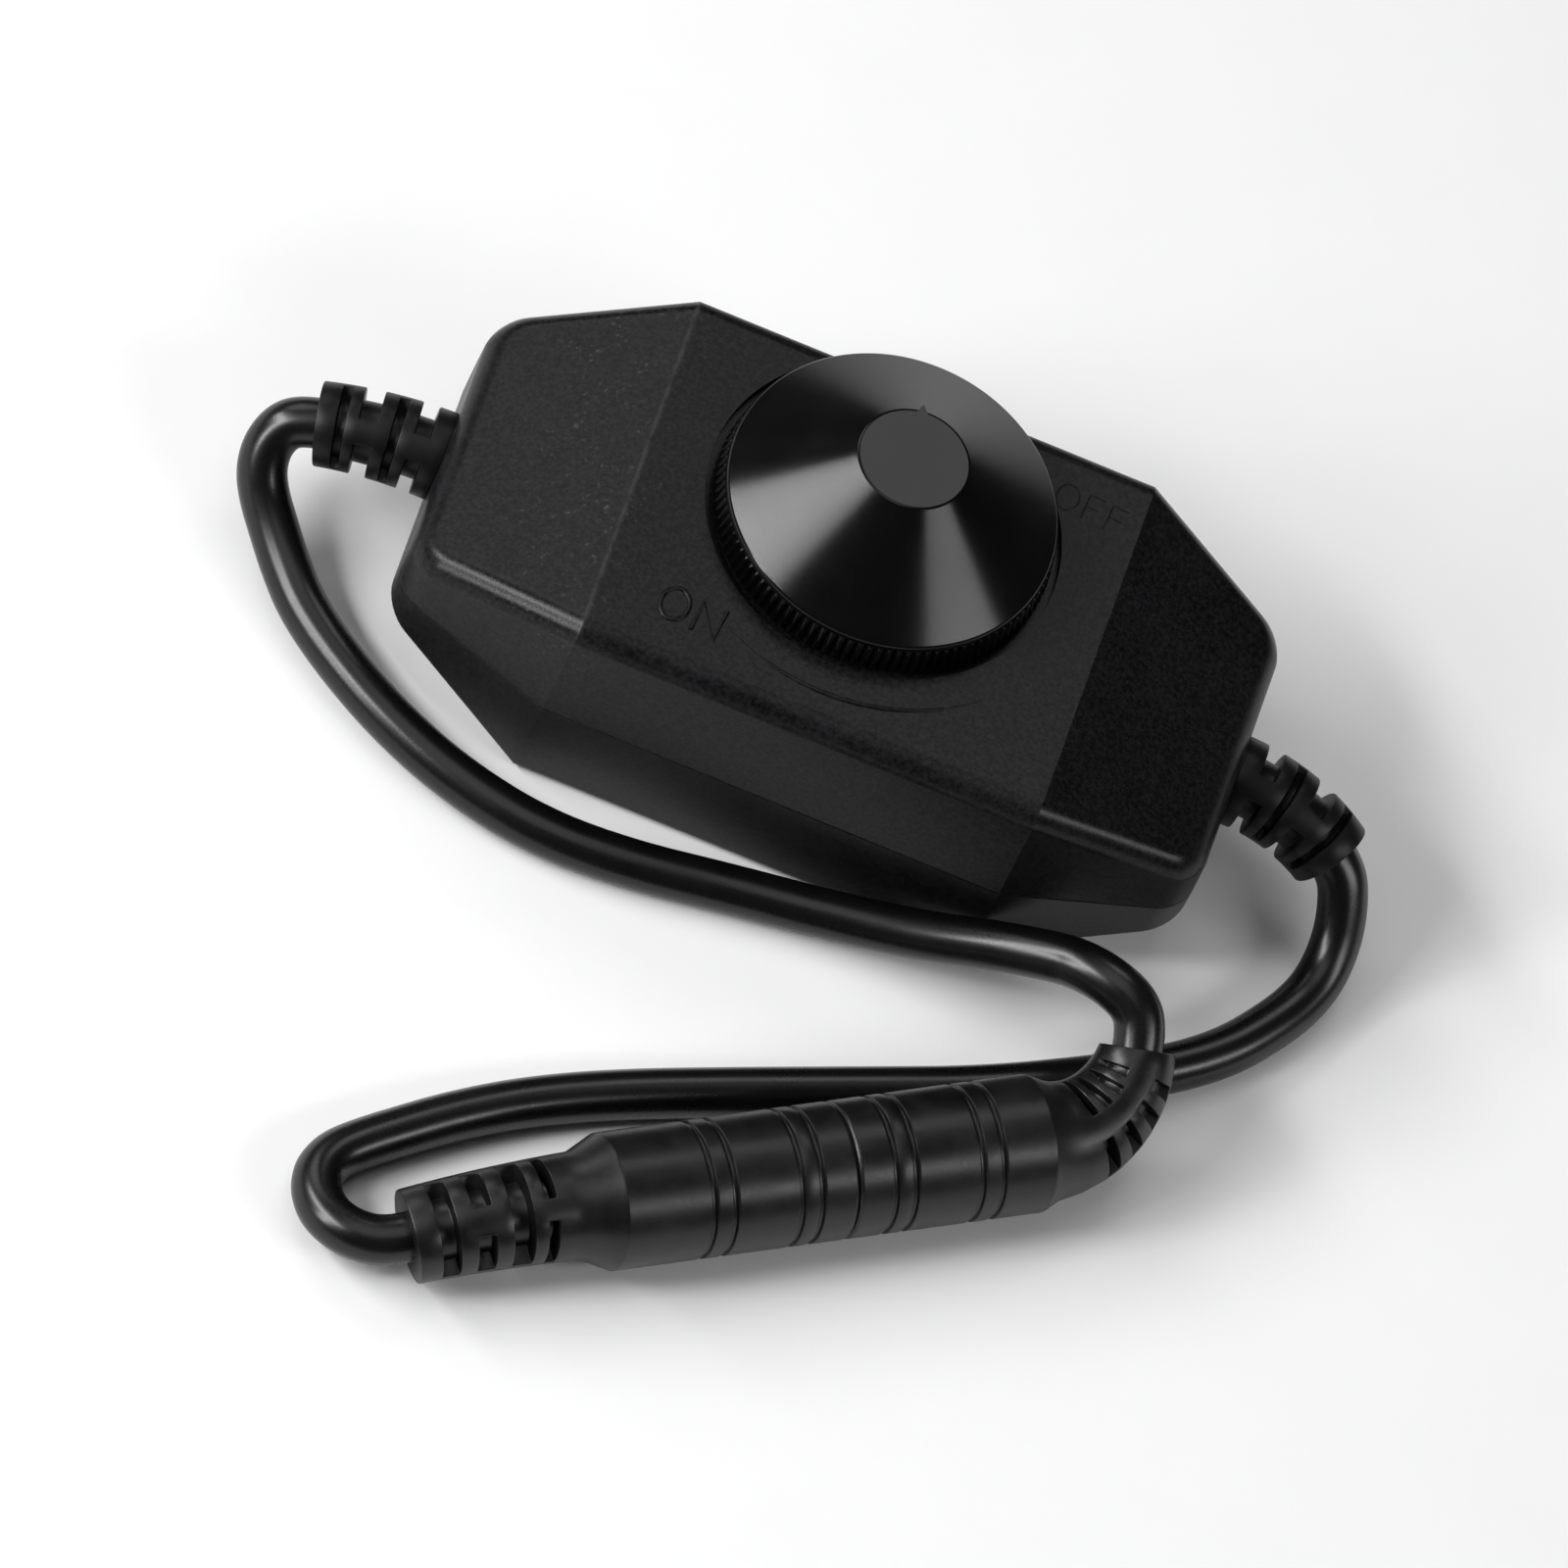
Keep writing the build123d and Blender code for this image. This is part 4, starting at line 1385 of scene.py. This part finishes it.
@dataclass
class Studio:
    """Pale floor, soft lamps, dim surroundings and the camera.

    Span is the width of the picture at the object. Aim and lit are what the camera and the lamps face.
    """

    aim: Point = (1.30, -7.98, 0.0)
    right: Point = (0.9244, 0.2824, 0.2557)
    back: Point = (-0.059, -0.557, 0.828)
    span: float = 122.14
    distance: float = 3600.0
    sensor: float = 36.0
    floor_size: float = 6000.0
    floor_gap: float = 0.05
    fibre: float = 8.0
    paper: tuple[Colour, Colour] = ((0.82, 0.82, 0.825), (0.84, 0.84, 0.845))
    surroundings: float = 0.05
    lit: Point = (0.0, -12.0, 12.0)
    lamps: Sequence[Softbox] = (
        Softbox("left_softbox", (-0.757, -0.17, 0.63), (0.398, -0.854, 0.337), (0.62, 0.11), 21.5),
        Softbox("low_softbox", (-0.76, -0.47, 0.44), (-0.26, -0.39, -0.88), (0.24, 0.12), 22.0),
        Softbox("top_softbox", (-0.12, -0.06, 0.99), (0.2, 1.0, 0.0), (0.54, 0.42), 1.15),
        Softbox("right_softbox", (0.79, -0.24, 0.57), (0.448, 0.815, -0.369), (0.40, 0.15), 7.8),
        Softbox("rear_left_softbox", (-0.56, 0.555, 0.615), (0.7, 0.7, 0.0), (0.30, 0.28), 2.3),
        Softbox("rear_softbox", (0.06, 0.557, 0.828), (1.0, 0.0, 0.0), (0.24, 0.20), 2.6),
    )

    @staticmethod
    def hang(name: str, data: bpy.types.ID, spot: Vector, back: Vector, side: Point) -> Piece:
        """Puts a camera or a lamp at its place.

        Args:
            name: Name of the new object.
            data: Camera or lamp.
            spot: Its place in metres.
            back: Unit vector away from what it faces.
            side: Direction of its X axis, which is squared to the other.

        Returns:
            The new object.
        """
        item = bpy.data.objects.new(name, data)
        bpy.context.collection.objects.link(item)
        right = (Vector(side) - back * Vector(side).dot(back)).normalized()
        item.matrix_world = Matrix((right, back.cross(right), back)).transposed().to_4x4()
        item.location = spot
        return item

    def camera(self) -> None:
        """Sets the camera far off with a long lens, turned as the photograph is."""
        data = bpy.data.cameras.new("camera")
        data.sensor_width = self.sensor
        data.lens = self.sensor * self.distance / self.span
        data.clip_start, data.clip_end = 0.1, 50.0
        back = Vector(self.back).normalized()
        spot = (Vector(self.aim) + back * self.distance) * MM
        bpy.context.scene.camera = self.hang("camera", data, spot, back, self.right)

    def light(self, lamp: Softbox) -> None:
        """Hangs one lamp.

        Args:
            lamp: Its place, size and brightness.
        """
        data = bpy.data.lights.new(lamp.name, "AREA")
        data.shape = "RECTANGLE"
        data.size, data.size_y = lamp.size
        data.energy = lamp.radiance * math.pi * lamp.size[0] * lamp.size[1]
        back = Vector(lamp.toward).normalized()
        self.hang(lamp.name, data, Vector(self.lit) * MM + back * lamp.distance, back, lamp.along)

    def floor(self) -> None:
        """Lays the floor just under the object."""
        floor = Bench.start("floor", bpy.ops.mesh.primitive_plane_add, size=self.floor_size * MM)
        shader = Shader("floor_paper")
        fibres = shader.noise(shader.place(), self.fibre, detail=3.0)
        floor.data.materials.append(shader.finish(
            Base_Color=shader.mix(fibres, *self.paper), Roughness=0.9, Specular_IOR_Level=0.1))
        floor.location = (0, 0, -self.floor_gap * MM)

    def world(self) -> None:
        """Sets plain dim surroundings."""
        world = bpy.data.worlds.new("surroundings")
        bpy.context.scene.world = world
        world.use_nodes = True
        sky = world.node_tree.nodes["Background"]
        sky.inputs["Color"].default_value = (1.0, 1.0, 1.0, 1.0)
        sky.inputs["Strength"].default_value = self.surroundings

    def build(self) -> None:
        """Sets up the whole studio."""
        self.floor()
        self.world()
        for lamp in self.lamps:
            self.light(lamp)
        bpy.context.scene.view_settings.view_transform = "Standard"
        self.camera()


def dress_inside(finishes: Finishes) -> None:
    """Gives every CAD node that stays a procedural material of its slot.

    Args:
        finishes: All finishes of the dimmer.
    """
    made = {finish.slot: finish.make() for finish in finishes.inner}
    slots = {part["node"]: part["material_slot"] for part in frame["record"]["subparts"]}
    for name, node in frame["nodes"].items():
        if node.hide_render:
            continue
        node.data.materials.clear()
        node.data.materials.append(made[slots[name]])
        LOG.info("%s keeps its solid, finished as %s", name, slots[name])


def main() -> None:
    """Builds the dimmer piece by piece, then the studio."""
    logging.basicConfig(level=logging.INFO, format="%(message)s")
    finishes = Finishes()
    looks = {finish.slot: finish.make() for finish in (
        finishes.case, finishes.knob, finishes.boot, finishes.lead, finishes.grip)}

    def mount(piece: Piece, slot: str, body: str, *nodes: str) -> Piece:
        """Dresses a piece, makes it ride on a body and hides the CAD nodes that it replaces.

        Args:
            piece: Finished piece.
            slot: Its material slot in the record.
            body: Body that it moves with.
            nodes: CAD nodes that it replaces.

        Returns:
            The same piece.
        """
        piece.data.materials.clear()
        piece.data.materials.append(looks[slot])
        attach(piece, body)
        if nodes:
            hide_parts(*nodes)
        LOG.info("%s built, %s", piece.name, slot)
        return piece

    case = Case()
    boots = Boots(case)
    left_lead = Lead("lead_left", length=97.4, far_end="plug", route=LEFT_ROUTE)
    right_lead = Lead("lead_right", length=109.5, far_end="connector", route=RIGHT_ROUTE)
    left_laid = mount(left_lead.build(), "lead_vinyl", "case", "left_cord")
    right_laid = mount(right_lead.build(), "lead_vinyl", "case", "right_cord")
    for half in Half:
        mount(case.build(half), "case_plastic", "case", f"{half.name.lower()}_case")
    mount(Marks(case).build(), "case_plastic", "case")
    mount(Knob(case).build(), "knob_plastic", "dial", "knob")
    left = boots.at_case("boot_left", side=-1, turn=16.0, bend=(0, -0.457, -0.889), twist=28.8)
    right = boots.at_case("boot_right", side=1, turn=34.0, bend=(0, -0.504, -0.864), twist=-25.7)
    mount(left.build(), "boot_rubber", "case", "left_boot")
    mount(right.build(), "boot_rubber", "case", "right_boot")
    jack = mount(boots.coupled(boots.jack).build(), "grip_vinyl", "case", "jack_grip")
    plug = mount(boots.coupled(boots.plug).build(), "grip_vinyl", "case", "plug_grip")
    dress_inside(finishes)
    Studio().build()


if __name__ == "__main__":
    main()
